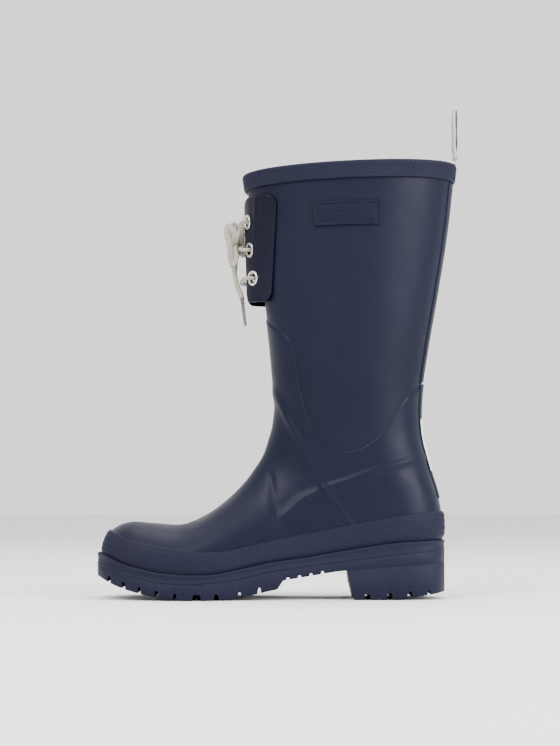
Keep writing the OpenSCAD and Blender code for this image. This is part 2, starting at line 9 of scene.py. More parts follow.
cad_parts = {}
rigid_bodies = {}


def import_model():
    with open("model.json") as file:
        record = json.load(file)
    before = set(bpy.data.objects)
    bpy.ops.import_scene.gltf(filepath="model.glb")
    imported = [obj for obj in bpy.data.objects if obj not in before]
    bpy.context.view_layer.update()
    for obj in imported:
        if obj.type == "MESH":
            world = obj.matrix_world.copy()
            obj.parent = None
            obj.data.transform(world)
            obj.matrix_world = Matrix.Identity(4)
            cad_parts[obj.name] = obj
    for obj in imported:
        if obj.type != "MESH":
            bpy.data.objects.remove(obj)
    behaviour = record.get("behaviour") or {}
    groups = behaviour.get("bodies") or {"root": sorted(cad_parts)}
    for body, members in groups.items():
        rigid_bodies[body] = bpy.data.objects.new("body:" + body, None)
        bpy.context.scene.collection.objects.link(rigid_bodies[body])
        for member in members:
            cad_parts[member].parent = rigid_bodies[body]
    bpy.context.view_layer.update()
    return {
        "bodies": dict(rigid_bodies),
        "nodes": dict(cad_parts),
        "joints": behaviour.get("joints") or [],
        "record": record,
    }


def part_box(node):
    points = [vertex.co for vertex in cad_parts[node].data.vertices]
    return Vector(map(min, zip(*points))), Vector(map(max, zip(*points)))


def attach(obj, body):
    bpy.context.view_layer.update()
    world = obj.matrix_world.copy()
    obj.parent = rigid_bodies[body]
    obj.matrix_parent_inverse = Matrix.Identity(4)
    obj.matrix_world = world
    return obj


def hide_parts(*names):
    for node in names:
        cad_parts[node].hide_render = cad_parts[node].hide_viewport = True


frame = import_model()
MM = 0.001

# ---------------------------------------------------------------- driving dimensions, millimetres
# Sections of the upper from toe to rim: top or front point (x, z), bottom or back point (x, z),
# half width, sideways shift, where it is widest, squareness of its upper and lower halves.
SECTIONS = np.array([
    [-139, 34, -139, 27.5, 11, 5, 0.6, 2, 2],
    [-137, 45, -137, 26, 21, 5, 0.65, 2.1, 2.5],
    [-131, 54.5, -131, 24, 31, 4.5, 0.68, 2.2, 3],
    [-118, 59.5, -118, 20, 41, 4, 0.7, 2.3, 3.5],
    [-99, 58.5, -99, 15, 47.5, 2.5, 0.72, 2.3, 4],
    [-76, 57.8, -76, 12.7, 50, 1.5, 0.72, 2.2, 4],
    [-55, 67, -54, 13.6, 47.5, 0.5, 0.72, 2.1, 4],
    [-38, 80, -20, 19.2, 42, 0, 0.72, 2.1, 3.6],
    [-26, 92.5, 30, 27.6, 36.5, 0, 0.68, 2.1, 4],
    [-18, 103.5, 78, 33.8, 35, 0, 0.62, 2.1, 4.4],
    [-13, 111.5, 110, 37.6, 36, 0, 0.59, 2.1, 4.2],
    [-10, 119, 126, 46, 37, 0, 0.57, 2.1, 3.4],
    [-8, 125.5, 128.4, 62, 37.5, 0, 0.55, 2.1, 2.8],
    [-5.5, 134, 125.5, 81, 38, 0, 0.53, 2.1, 2.5],
    [-4.3, 143, 119.5, 102, 38.5, 0, 0.51, 2.1, 2.3],
    [-3.5, 155, 113, 130, 40, 0, 0.5, 2.1, 2.2],
    [-5, 172, 113, 160, 42.5, 0, 0.5, 2.1, 2.1],
    [-8, 204, 118.5, 198, 45, 0, 0.5, 2.1, 2.1],
    [-12.5, 240, 126, 240, 47.5, 0, 0.5, 2.1, 2.1],
    [-20, 288, 134.5, 292, 49.5, 0, 0.5, 2.1, 2.1],
    [-27.5, 336, 140.5, 344, 50.5, 0, 0.5, 2.1, 2.1]])
LAST = len(SECTIONS) - 1
FOOT_EDGE = np.array([[0, 17.6], [33, 17.2], [46, 17], [51, 16.2], [54, 14.6], [63, 13.3], [75, 13.1],
                      [90, 13.7], [104, 14.3], [118, 14.9], [137, 15.9], [159, 16.2], [180, 16.3]])
FOXING_TOP = np.array([[-134, 54.5], [-121, 47.5], [-94, 41], [-64, 36.7], [-43, 37.5], [-4, 46.5],
                       [17, 50.6], [56, 58.5], [90, 65], [109, 68], [129, 69]])
FOXING_FOOT = np.array([[-142, 36.5], [-131, 32], [-121, 27], [-94, 21], [-71, 19], [-49, 19.6],
                        [-27, 24.4], [-4, 29.4], [17, 31.8], [53, 38.2], [90, 43.8], [129, 46]])
WELT_FOOT = np.array([[-144, 28.2], [-126, 21.4], [-110, 17], [-94, 13.3], [-71, 11.9], [-43, 14],
                      [-27, 17], [-4, 22.6], [17, 25.2], [53, 30], [90, 35], [129, 38.2]])
TREAD = np.array([[-144, 20.5], [-140, 17], [-129, 11.8], [-118, 8], [-102, 4], [-88, 1.6], [-75, 0],
                  [-52, 0], [-30, 2], [-2, 8.6]])
FOOT_PROUD = 0.4
LEG_PROUD = -0.2
LINING_OUT = -2.2
LINING_IN = -3.2
FOXING_THICK = 2.15
STRIP_THICK = 1.0
SOLE_LEDGE = 4.6
BINDING = 16.0
MM_PER_SECTION = 50
STAY_HALF = 18
STAY_GROOVE = 0.22
HEEL_STAY_START = 12.85


# ---------------------------------------------------------------- the skin
def line(points, x):
    """Heights along a line of given points, rounded a little so that no corner shows."""
    reach = np.linspace(-7, 7, 9)
    return np.mean([np.interp(np.asarray(x, float) + r, points[:, 0], points[:, 1]) for r in reach], axis=0)


def section(u):
    u = np.asarray(u, float)
    i = np.clip(np.floor(u).astype(int), 0, LAST - 1)
    t = (u - i)[..., None]
    a, b = SECTIONS[np.maximum(i - 1, 0)], SECTIONS[i]
    c, d = SECTIONS[i + 1], SECTIONS[np.minimum(i + 2, LAST)]
    return 0.5 * (2 * b + (c - a) * t + (2 * a - 5 * b + 4 * c - d) * t ** 2
                  + (3 * b - a - 3 * c + d) * t ** 3)


def skin(u, f):
    """A point of the upper's surface: u runs from toe to rim, f around the section from its front."""
    s, f = section(u), np.radians(np.asarray(f, float))
    c, n = np.cos(f), np.sin(f)
    front = c >= 0
    power = np.where(front, s[..., 7], s[..., 8])
    reach = np.where(front, s[..., 6], 1 - s[..., 6])
    r = (np.abs(n) ** power + np.abs(c) ** power) ** (-1 / power)
    q = s[..., 6] - reach * r * c
    return np.stack([s[..., 0] + (s[..., 2] - s[..., 0]) * q, s[..., 5] - s[..., 4] * r * n,
                     s[..., 1] + (s[..., 3] - s[..., 1]) * q], -1)


def normal(u, f):
    along = skin(u + 0.03, f) - skin(u - 0.03, f)
    around = skin(u, f + 1) - skin(u, f - 1)
    n = np.cross(around, along)
    return n / np.linalg.norm(n, axis=-1, keepdims=True)


def layer(u, f, d):
    u, f, d = np.broadcast_arrays(np.asarray(u, float), np.asarray(f, float), np.asarray(d, float))
    return skin(u, f) + normal(u, f) * d[..., None]


def fold(f):
    f = np.mod(f, 360)
    return np.where(f > 180, 360 - f, f)


def foot_edge(f):
    """The upper edge of the foot's thicker rubber, as a section number for each angle."""
    spread = np.linspace(-5, 5, 11)
    return np.mean([np.interp(fold(f + s), FOOT_EDGE[:, 0], FOOT_EDGE[:, 1]) for s in spread], axis=0)


def edge_angle(points, u):
    """The angle at which a line of heights crosses each section."""
    s = section(u)
    q = np.full(np.shape(u), 0.8)
    for _ in range(12):
        x = s[..., 0] + (s[..., 2] - s[..., 0]) * q
        q = np.clip((s[..., 1] - line(points, x)) / (s[..., 1] - s[..., 3]), 0, 1)
    front = q < s[..., 6]
    power = np.where(front, s[..., 7], s[..., 8])
    c = (s[..., 6] - q) / np.where(front, s[..., 6], 1 - s[..., 6])
    return np.degrees(np.arctan2(np.maximum(1 - np.abs(c) ** power, 0) ** (1 / power), c))


def edge_ends(points):
    """The first and last section that a line of heights touches, at the toe and at the heel."""
    ends = []
    for column, low, high in ((0, 0.0, 3.0), (2, 9.0, 14.0)):
        for _ in range(30):
            mid = (low + high) / 2
            s = section(mid)
            if s[column + 1] > line(points, s[column]):
                high = mid
            else:
                low = mid
        ends.append((low + high) / 2)
    return ends


def edge_ring(points, count):
    """count places (u, f) evenly spaced by length around the boot along a line of heights."""
    first, last = edge_ends(points)
    t = np.linspace(0, 1, 1500)
    u = first + (last - first) * (1 - np.cos(math.pi * t)) / 2
    f = edge_angle(points, u)
    f[0], f[-1] = 0, 180
    u = np.concatenate([u, u[-2::-1]])
    f = np.concatenate([f, 360 - f[-2::-1]])
    p = skin(u, f)
    run = np.concatenate([[0], np.cumsum(np.linalg.norm(np.diff(p, axis=0), axis=1))])
    at = np.linspace(0, run[-1], count, endpoint=False)
    return np.interp(at, run, u), np.interp(at, run, f), run[-1]


def mix_lines(a, b, t):
    x = np.arange(-144.0, 134.0, 4.0)
    return np.stack([x, np.interp(x, a[:, 0], a[:, 1]) * (1 - t) + np.interp(x, b[:, 0], b[:, 1]) * t], 1)


# ---------------------------------------------------------------- mesh helpers
def new_object(name, verts, faces, smooth=True):
    mesh = bpy.data.meshes.new(name)
    mesh.from_pydata((np.asarray(verts) * MM).tolist(), [], faces)
    mesh.validate()
    bm = bmesh.new()
    bm.from_mesh(mesh)
    bmesh.ops.recalc_face_normals(bm, faces=bm.faces)
    bm.to_mesh(mesh)
    bm.free()
    mesh.polygons.foreach_set("use_smooth", [smooth] * len(mesh.polygons))
    obj = bpy.data.objects.new(name, mesh)
    bpy.context.scene.collection.objects.link(obj)
    return obj


def quads(rows, cols, wrap, start=0, flip=False):
    i = np.arange(rows - 1)[:, None]
    j = np.arange(cols if wrap else cols - 1)[None, :]
    k = (j + 1) % cols
    f = np.stack([i * cols + j, i * cols + k, (i + 1) * cols + k, (i + 1) * cols + j], -1) + start
    f = f.reshape(-1, 4)
    return (f[:, ::-1] if flip else f).tolist()


def shell(name, outer, inner, wrap=False, cap=False):
    """A closed skin between an outer and an inner grid that have the same columns."""
    rows, cols = outer.shape[:2]
    inner_rows = inner.shape[0]
    start = rows * cols
    verts = np.concatenate([outer.reshape(-1, 3), inner.reshape(-1, 3)])
    faces = quads(rows, cols, wrap) + quads(inner_rows, cols, wrap, start, True)
    spans = range(cols if wrap else cols - 1)
    top, inner_top = (rows - 1) * cols, start + (inner_rows - 1) * cols
    faces += [[top + j, top + (j + 1) % cols, inner_top + (j + 1) % cols, inner_top + j] for j in spans]
    if cap:
        faces += [list(range(cols))[::-1], list(range(start, start + cols))]
    else:
        faces += [[(j + 1) % cols, j, start + j, start + (j + 1) % cols] for j in spans]
    if not wrap:
        for j in (0, cols - 1):
            loop = [i * cols + j for i in range(rows)]
            back = [start + i * cols + j for i in range(inner_rows)]
            faces.append(loop + back[::-1])
    return new_object(name, verts, faces)


def sweep(name, rings, closed=False, caps=True):
    """A tube through rings of points, all with the same number of points."""
    rings = np.asarray(rings)
    n, sides = rings.shape[:2]
    faces = quads(n, sides, True)
    if closed:
        faces += [[(n - 1) * sides + j, (n - 1) * sides + (j + 1) % sides, (j + 1) % sides, j]
                  for j in range(sides)]
    elif caps:
        faces += [list(range(sides))[::-1], [(n - 1) * sides + j for j in range(sides)]]
    return new_object(name, rings.reshape(-1, 3), faces)


def prism(name, outline, low, high, axis):
    """An outline raised along z, or a side view drawn in x and z raised along y."""
    outline = np.asarray(outline, float)
    n = len(outline)
    flat = np.full(n, 0.0)
    columns = {"z": (outline[:, 0], outline[:, 1], flat), "y": (outline[:, 0], flat, outline[:, 1])}[axis]
    ring = np.stack(columns, 1)
    shift = np.array([0, 0, 1.0]) if axis == "z" else np.array([0, 1.0, 0])
    verts = np.concatenate([ring + shift * low, ring + shift * high])
    faces = [list(range(n))[::-1], list(range(n, 2 * n))]
    faces += [[j, (j + 1) % n, n + (j + 1) % n, n + j] for j in range(n)]
    return new_object(name, verts, faces, smooth=False)


def apply_modifiers(obj):
    depsgraph = bpy.context.evaluated_depsgraph_get()
    mesh = bpy.data.meshes.new_from_object(obj.evaluated_get(depsgraph))
    obj.modifiers.clear()
    obj.data = mesh


def carve(obj, tool, operation="DIFFERENCE"):
    modifier = obj.modifiers.new("carve", "BOOLEAN")
    modifier.object = tool
    modifier.operation = operation
    modifier.solver = "EXACT"
    apply_modifiers(obj)
    bpy.data.objects.remove(tool)


def bevel(obj, width, segments=2, angle=35):
    """Rounds the sharp edges, as moulded rubber has none."""
    modifier = obj.modifiers.new("bevel", "BEVEL")
    modifier.width = width * MM
    modifier.segments = segments
    modifier.limit_method = "ANGLE"
    modifier.angle_limit = math.radians(angle)
    modifier.harden_normals = True
    apply_modifiers(obj)


def shade_by_angle(obj, angle=40):
    bm = bmesh.new()
    bm.from_mesh(obj.data)
    for e in bm.edges:
        e.smooth = len(e.link_faces) == 2 and e.calc_face_angle(0) < math.radians(angle)
    for f in bm.faces:
        f.smooth = True
    bm.to_mesh(obj.data)
    bm.free()


def finish_piece(obj, body, nodes, material):
    obj.data.materials.clear()
    obj.data.materials.append(material)
    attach(obj, body)
    if nodes:
        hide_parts(*nodes)
    return obj


def place(x, z):
    """Where the outer side of the skin has this x and z: its section and its angle."""
    x, z = np.broadcast_arrays(np.asarray(x, float), np.asarray(z, float))
    low, high = np.full(x.shape, 5.0), np.full(x.shape, float(LAST))
    for _ in range(34):
        mid = (low + high) / 2
        s = section(mid)
        q = (x - s[..., 0]) / (s[..., 2] - s[..., 0])
        over = s[..., 1] + (s[..., 3] - s[..., 1]) * q > z
        low, high = np.where(over, low, mid), np.where(over, mid, high)
    s = section(mid)
    q = np.clip((x - s[..., 0]) / (s[..., 2] - s[..., 0]), 0, 1)
    front = q < s[..., 6]
    power = np.where(front, s[..., 7], s[..., 8])
    c = (s[..., 6] - q) / np.where(front, s[..., 6], 1 - s[..., 6])
    return mid, np.degrees(np.arctan2(np.maximum(1 - np.abs(c) ** power, 0) ** (1 / power), c))


def saw(t):
    """A wave of straight sides from 0 to 1 and back, once for each unit of t."""
    return 1 - 2 * np.abs(np.mod(t, 1) - 0.5)


def knurl(a, b):
    """Four-sided points where two sets of slanting grooves cross."""
    return np.minimum(saw(a + b), saw(a - b))


def step(a, b, x):
    t = np.clip((np.asarray(x, float) - a) / (b - a), 0, 1)
    return t * t * (3 - 2 * t)


def round_edge(e, radius):
    """1 well inside an edge and 0 on it, along a quarter circle of that radius."""
    t = np.clip(np.asarray(e, float) / radius, 0, 1)
    return np.sqrt(1 - (1 - t) ** 2)


def near_path(x, z, points):
    """Distance in side view to a line through given points."""
    best = np.full(np.shape(x), 1e9)
    for (ax, az), (bx, bz) in zip(points[:-1], points[1:]):
        dx, dz = bx - ax, bz - az
        t = np.clip(((x - ax) * dx + (z - az) * dz) / (dx * dx + dz * dz), 0, 1)
        best = np.minimum(best, np.hypot(x - ax - t * dx, z - az - t * dz))
    return best


def spline(points, spacing):
    """Points along a smooth curve through given ones, about spacing apart."""
    p = np.asarray(points, float)
    out = []
    for i in range(len(p) - 1):
        a, b, c, d = p[max(i - 1, 0)], p[i], p[i + 1], p[min(i + 2, len(p) - 1)]
        count = max(2, int(np.linalg.norm(c - b) / spacing))
        t = np.arange(count)[:, None] / count
        out.append(0.5 * (2 * b + (c - a) * t + (2 * a - 5 * b + 4 * c - d) * t ** 2
                          + (3 * b - a - 3 * c + d) * t ** 3))
    return np.concatenate(out + [p[-1:]])


def frames(p, up):
    """Heading and two sideways directions at each point of a curve, carried along without twisting."""
    heading = np.gradient(p, axis=0)
    heading /= np.linalg.norm(heading, axis=1, keepdims=True)
    side = np.empty_like(p)
    v = np.asarray(up, float)
    for i, h in enumerate(heading):
        v = v - v.dot(h) * h
        v = v / np.linalg.norm(v)
        side[i] = v
    return heading, side, np.cross(heading, side)


# ---------------------------------------------------------------- materials
class Material:
    """A Principled material whose noise, weave and bump are added by name."""

    def __init__(self, name, colour, roughness, metallic=0.0, sheen=0.0, coat=0.0):
        self.data = bpy.data.materials.new(name)
        self.data.use_nodes = True
        self.tree = self.data.node_tree
        self.shader = self.tree.nodes["Principled BSDF"]
        self.colour = (*colour, 1)
        self.socket("Base Color").default_value = self.colour
        self.socket("Roughness").default_value = roughness
        self.socket("Metallic").default_value = metallic
        self.socket("Sheen Weight").default_value = sheen
        self.socket("Coat Weight").default_value = coat
        self.roughness = roughness
        self.place = self.node("ShaderNodeTexCoord").outputs["Object"]
        self.height = None

    def socket(self, name):
        return self.shader.inputs[name]

    def node(self, kind, **settings):
        made = self.tree.nodes.new(kind)
        for key, value in settings.items():
            setattr(made, key, value)
        return made

    def link(self, a, b):
        self.tree.links.new(a, b)

    def noise(self, scale, detail=3.0, stretch=(1, 1, 1)):
        mapping = self.node("ShaderNodeMapping")
        mapping.inputs["Scale"].default_value = stretch
        self.link(self.place, mapping.inputs["Vector"])
        texture = self.node("ShaderNodeTexNoise")
        texture.inputs["Scale"].default_value = scale
        texture.inputs["Detail"].default_value = detail
        self.link(mapping.outputs["Vector"], texture.inputs["Vector"])
        return texture.outputs["Fac"]

    def wave(self, period, direction):
        """Fine ribs a period apart, in metres, across a direction."""
        dot = self.node("ShaderNodeVectorMath", operation="DOT_PRODUCT")
        self.link(self.place, dot.inputs[0])
        dot.inputs[1].default_value = [2 * math.pi / period * d for d in direction]
        sine = self.node("ShaderNodeMath", operation="SINE")
        self.link(dot.outputs["Value"], sine.inputs[0])
        return sine.outputs[0]

    def remap(self, value, low, high, out_low, out_high):
        ranged = self.node("ShaderNodeMapRange")
        for key, number in zip(("From Min", "From Max", "To Min", "To Max"), (low, high, out_low, out_high)):
            ranged.inputs[key].default_value = number
        self.link(value, ranged.inputs["Value"])
        return ranged.outputs["Result"]

    def tint(self, value, colour, low=0.35, high=0.65):
        """The colour goes towards another where the value is high."""
        mixed = self.node("ShaderNodeMix", data_type="RGBA")
        old = self.socket("Base Color")
        mixed.inputs[6].default_value = self.colour
        if old.is_linked:
            self.link(old.links[0].from_socket, mixed.inputs[6])
        mixed.inputs[7].default_value = (*colour, 1)
        self.link(self.remap(value, low, high, 0, 1), mixed.inputs[0])
        self.link(mixed.outputs[2], old)
        return self

    def rough(self, value, spread, low=0.35, high=0.65):
        self.link(self.remap(value, low, high, self.roughness - spread, self.roughness + spread),
                  self.socket("Roughness"))
        return self

    def bump(self, value, depth, strength=1.0):
        """Raises the surface by depth millimetres where the value is 1."""
        made = self.node("ShaderNodeBump")
        made.inputs["Distance"].default_value = depth * MM
        made.inputs["Strength"].default_value = strength
        self.link(value, made.inputs["Height"])
        if self.height is not None:
            self.link(self.height, made.inputs["Normal"])
        self.height = made.outputs["Normal"]
        self.link(self.height, self.socket("Normal"))
        return self


def rubber(name, colour, roughness, patch_colour, pits=0.06):
    """Vulcanised rubber: fine pits, a faint bloom in patches and a soft unevenness."""
    m = Material(name, colour, roughness, coat=0.0)
    m.socket("Specular IOR Level").default_value = 0.12
    m.tint(m.noise(9, 4), patch_colour, 0.42, 0.75)
    m.rough(m.noise(60, 5), 0.05)
    m.bump(m.noise(1700, 2), pits)
    m.bump(m.noise(140, 3), 0.10)
    return m


def cloth(name, colour, dark, period, direction_a, direction_b, depth):
    """Woven or knitted cloth: two sets of ribs across each other and a soft fuzz."""
    m = Material(name, colour, 0.85, sheen=0.35)
    across = m.node("ShaderNodeMath", operation="MULTIPLY")
    m.link(m.wave(period, direction_a), across.inputs[0])
    m.link(m.wave(period, direction_b), across.inputs[1])
    # The weave's low cells, where the bump below sinks, are tinted dark: painted shade in the hollows of the
    # weave.
    m.tint(across.outputs[0], dark, -0.2, -1.0)
    m.tint(m.noise(55, 4), dark, 0.5, 0.95)
    m.bump(across.outputs[0], depth)
    m.bump(m.noise(2600, 2), 0.05)
    return m


def metal(name, colour, roughness):
    m = Material(name, colour, roughness, metallic=1.0)
    m.rough(m.noise(420, 4), 0.07)
    m.tint(m.noise(230, 3), [c * 0.6 for c in colour], 0.55, 0.8)
    m.bump(m.noise(900, 2), 0.012)
    return m


def board_like(name, colour, dark):
    m = Material(name, colour, 0.8)
    m.tint(m.noise(500, 5), dark, 0.4, 0.7)
    m.bump(m.noise(900, 3), 0.06)
    return m


NAVY = (0.0034, 0.0045, 0.0150)
NAVY_WORN = (0.0054, 0.0068, 0.0195)
# The sole's navy and its bloom colour sit above the upper's: a painted sheen on the foxing, welt, top binding,
# outsole and heel.
SOLE_NAVY_AND_PAINTED_SHEEN = (0.0062, 0.0068, 0.0190)
SOLE_BLOOM_AND_PAINTED_SHEEN = (0.0088, 0.0096, 0.0240)
MATERIALS = {
    "leg": rubber("leg_rubber", NAVY, 0.46, NAVY_WORN),
    "foot": rubber("foot_rubber", NAVY, 0.40, NAVY_WORN),
    "trim": rubber("trim_rubber", (0.0034, 0.0044, 0.0140), 0.44, NAVY_WORN),
    "flap": rubber("flap_rubber", (0.0022, 0.0025, 0.0075), 0.38, NAVY),
    "sole": rubber("sole_rubber", SOLE_NAVY_AND_PAINTED_SHEEN, 0.55, SOLE_BLOOM_AND_PAINTED_SHEEN, 0.10),
    "foam": board_like("heel_foam", (0.20, 0.20, 0.22), (0.13, 0.13, 0.15)),
    "steel": metal("spring_steel", (0.42, 0.43, 0.46), 0.35),
    "nickel": metal("nickel_plate", (0.72, 0.70, 0.66), 0.24),
    "lining": cloth("lining_knit", (0.30, 0.31, 0.34), (0.19, 0.20, 0.23), 0.0016,
                    (0.8, 0.6, 0.6), (0.8, 0.6, -0.6), 0.14),
    "canvas": cloth("stiffener_canvas", (0.55, 0.50, 0.42), (0.40, 0.36, 0.29), 0.0011,
                    (1, 0, 0.2), (0, 1, 0.2), 0.12),
    "board": board_like("insole_board", (0.45, 0.36, 0.24), (0.34, 0.26, 0.17)),
    "insole": cloth("insole_cloth", (0.16, 0.17, 0.20), (0.10, 0.11, 0.13), 0.0013,
                    (1, 0, 0), (0, 1, 0), 0.10),
    "lace": cloth("lace_braid", (0.33, 0.30, 0.245), (0.17, 0.15, 0.12), 0.0009,
                  (0.7, 0.7, 0.7), (0.7, 0.7, -0.7), 0.05),
    "tape": cloth("loop_tape", (0.50, 0.49, 0.45), (0.30, 0.29, 0.27), 0.0011,
                  (0.5, 0.6, 0.75), (0.5, -0.6, 0.75), 0.16),
}


def film_material():
    m = Material("reflective_film", (0.78, 0.79, 0.80), 0.32, coat=0.4)
    m.tint(m.noise(1400, 2), (0.88, 0.89, 0.90), 0.45, 0.6)
    m.bump(m.noise(2200, 1), 0.02)
    return m


def aglet_material():
    m = Material("aglet_plastic", (0.085, 0.078, 0.070), 0.30, coat=0.3)
    m.tint(m.noise(300, 3), (0.13, 0.12, 0.105), 0.45, 0.7)
    m.bump(m.noise(700, 2), 0.03)
    return m


MATERIALS["film"] = film_material()
MATERIALS["aglet"] = aglet_material()


def paint(name):
    return MATERIALS[name].data


# ---------------------------------------------------------------- camera, floor and light
VIEW_WIDTH = 448.0
CAMERA_AWAY = 1500.0
CAMERA_HEIGHT = 75.0
AIM = (0.6, 0.0, 178.8)


def aim(obj, target):
    direction = Vector(target) * MM - obj.location
    obj.rotation_euler = direction.to_track_quat("-Z", "Y").to_euler()


def make_camera():
    data = bpy.data.cameras.new("camera")
    camera = bpy.data.objects.new("camera", data)
    bpy.context.scene.collection.objects.link(camera)
    camera.location = Vector((AIM[0], -CAMERA_AWAY, CAMERA_HEIGHT)) * MM
    aim(camera, AIM)
    data.sensor_fit = "HORIZONTAL"
    data.sensor_width = 36
    data.lens = 36 * math.hypot(CAMERA_AWAY, AIM[2] - CAMERA_HEIGHT) / VIEW_WIDTH
    data.clip_start = 0.05
    data.clip_end = 60
    bpy.context.scene.camera = camera


def make_floor():
    mesh = bpy.data.meshes.new("floor")
    half = 12.0
    corners = [(-half, -half, 0), (half, -half, 0), (half, half, 0), (-half, half, 0)]
    mesh.from_pydata(corners, [], [(0, 1, 2, 3)])
    floor = bpy.data.objects.new("floor", mesh)
    bpy.context.scene.collection.objects.link(floor)
    pale = Material("floor_pale", (0.86, 0.86, 0.86), 0.9)
    pale.tint(pale.noise(3, 2), (0.84, 0.84, 0.845))
    mesh.materials.append(pale.data)


def area_light(name, place, size, power, target=(0, 0, 150), tint=(1, 1, 1)):
    data = bpy.data.lights.new(name, "AREA")
    data.shape = "RECTANGLE"
    data.size, data.size_y = size
    data.energy = power
    data.color = tint
    light = bpy.data.objects.new(name, data)
    bpy.context.scene.collection.objects.link(light)
    light.location = Vector(place) * MM
    aim(light, target)


def make_light():
    world = bpy.data.worlds.new("studio")
    world.use_nodes = True
    background = world.node_tree.nodes["Background"]
    background.inputs["Color"].default_value = (1, 1, 1, 1)
    background.inputs["Strength"].default_value = 1.5
    bpy.context.scene.world = world
    area_light("key", (-900, -1300, 1500), (1.2, 1.2), 44)
    area_light("fill", (1300, -900, 700), (0.9, 0.9), 34)
    area_light("top", (100, 200, 1900), (1.6, 1.6), 30)


make_camera()
make_floor()
make_light()


# ---------------------------------------------------------------- the lace
# The routes of the cord, the same as the model's own, in millimetres.
LACING_ROUTE = [[-30.5, -3.5, 283], [-30, -9, 289.5], [-30.2, -15.5, 296.5], [-28, -17.5, 298.2],
    [-24.8, -15.4, 298], [-21.6, -12.7, 296.5], [-23, -7, 291.5], [-23.4, -1, 286], [-26, 4.5, 281.5],
    [-30.2, 10.5, 277], [-29.8, 17, 275.7], [-26.8, 18.6, 275.5], [-23.1, 16.7, 275.5],
    [-19.3, 14, 273], [-17.6, 14, 266], [-16.8, 14.3, 258], [-17.5, 15, 253.7], [-20.6, 17.6, 253],
    [-23.8, 20.3, 252.8], [-27.6, 18.5, 252.2], [-29.6, 10, 251.5], [-29.6, 0, 251.3],
    [-29.6, -10, 251.5], [-27.6, -18.5, 252.2], [-23.8, -20.3, 252.8], [-20.6, -17.6, 253],
    [-17.5, -15, 253.7], [-16.8, -14.3, 258], [-17.6, -14, 266], [-19.3, -14, 273],
    [-23.1, -16.7, 275.5], [-26.8, -18.6, 275.5], [-29.8, -17, 275.7], [-30.2, -10.5, 277],
    [-30, -4, 279.5], [-28.6, 1.5, 283], [-23.6, 6, 289], [-21.6, 12.7, 296.5], [-24.8, 15.4, 298],
    [-28, 17.5, 298.2], [-30.2, 15.5, 296.5], [-30, 9, 289.5], [-30.5, 3.5, 283]]
LOOP_LATERAL_ROUTE = [[-34.8, -7.4, 282.5], [-34.6, -11.5, 285.5], [-35.4, -13, 289.5],
    [-38.2, -13, 293.4], [-41, -12.8, 294.8], [-42, -12.5, 290.5], [-40.3, -12, 283.5],
    [-39, -12, 276], [-38.4, -12.2, 269.5], [-36.8, -12.6, 265.4], [-34.6, -13, 267.6],
    [-34.4, -12.8, 272], [-35.6, -10.8, 276.3], [-34.8, -7.4, 279.5]]
LOOP_MEDIAL_ROUTE = [[-34.8, 7.4, 283.5], [-35.8, 10, 288], [-35.8, 11.5, 294], [-35.6, 12, 299],
    [-38, 12.2, 299], [-39.4, 12.3, 291.5], [-39.2, 12.5, 282], [-38.8, 12.3, 273], [-37.8, 12, 267],
    [-36, 11.6, 266], [-35.6, 11, 270], [-36, 10, 274.8], [-34.8, 7.4, 278.5]]
TAIL_ROUTE = [[-34, -3.2, 274.3], [-35.2, -4, 268], [-35.8, -5, 261], [-35, -5.8, 253.5],
    [-33.2, -6.2, 247], [-31, -6.5, 242.3], [-29.9, -6.7, 238.5]]
AGLET_TIP = [-27.2, -7, 217.4]
LACE_WIDTH = 4.8
LACE_FLAT = 2.9
STRANDS = 6
STRAND_RUN = 5.2


def braid(name, route, width, flat, up=(0, 0.25, 1), spacing=0.3):
    """A flat-oval braided cord along a route, its strands crossing in two directions."""
    p = spline(route, spacing)
    _, wide, thin = frames(p, up)
    run = np.concatenate([[0], np.cumsum(np.linalg.norm(np.diff(p, axis=0), axis=1))])
    turn = np.linspace(0, 2 * math.pi, 28, endpoint=False)
    across, along = turn[None, :] / (2 * math.pi) * STRANDS, run[:, None] / STRAND_RUN
    one, other = saw(across + along), saw(across - along)
    weave = np.where(np.mod(np.floor(across + along) + np.floor(across - along), 2) > 0,
                     one * 1.0 + other * 0.35, one * 0.35 + other * 1.0)
    swell = 1 + 0.10 * (weave - 0.7)
    rings = (p[:, None, :] + wide[:, None, :] * (np.cos(turn)[None, :] * width / 2 * swell)[..., None]
             + thin[:, None, :] * (np.sin(turn)[None, :] * flat / 2
                                   * (swell + 0.12 * (weave - 0.7)))[..., None])
    obj = sweep(name, rings)
    return obj, p * MM, run[-1] * MM


def make_bow(name, route, body):
    obj, path, length = braid(name + "_braid", route, LACE_WIDTH, LACE_FLAT, up=(0.9, -0.4, 0))
    finish_piece(obj, body, [name], paint("lace"))


def mirrored(points):
    return [[x, -y, z] for x, y, z in points]


def make_aglet(name, root, tip, body):
    root, tip = np.array(root, float), np.array(tip, float)
    t = np.array([0, 0.0, 0.012, 0.03, 0.3, 0.6, 0.93, 0.975, 1.0, 1.0])
    radius = np.array([0.0, 1.15, 1.38, 1.42, 1.36, 1.3, 1.22, 1.1, 0.8, 0.0])
    p = root + (tip - root) * t[:, None]
    _, a, b = frames(np.linspace(root, tip, len(t)), (1, 0, 0))
    turn = np.linspace(0, 2 * math.pi, 24, endpoint=False)
    seam = 1 - 0.05 * (np.abs(np.mod(turn, 2 * math.pi) - math.pi) < 0.2)
    rings = (p[:, None, :] + a[:, None, :] * (radius[:, None] * np.cos(turn) * seam)[..., None]
             + b[:, None, :] * (radius[:, None] * np.sin(turn) * seam)[..., None])
    obj = sweep(name + "_sleeve", rings, caps=False)
    return finish_piece(obj, body, [name], paint("aglet"))


def make_tail(side, route, tip, body):
    obj, path, length = braid(f"lace_tail_{side}_braid", route, 3.9, 2.7, up=(1, -0.3, 0))
    finish_piece(obj, body, [f"lace_tail_{side}"], paint("lace"))
    sleeve = make_aglet(f"aglet_{side}", route[-1], tip, body)


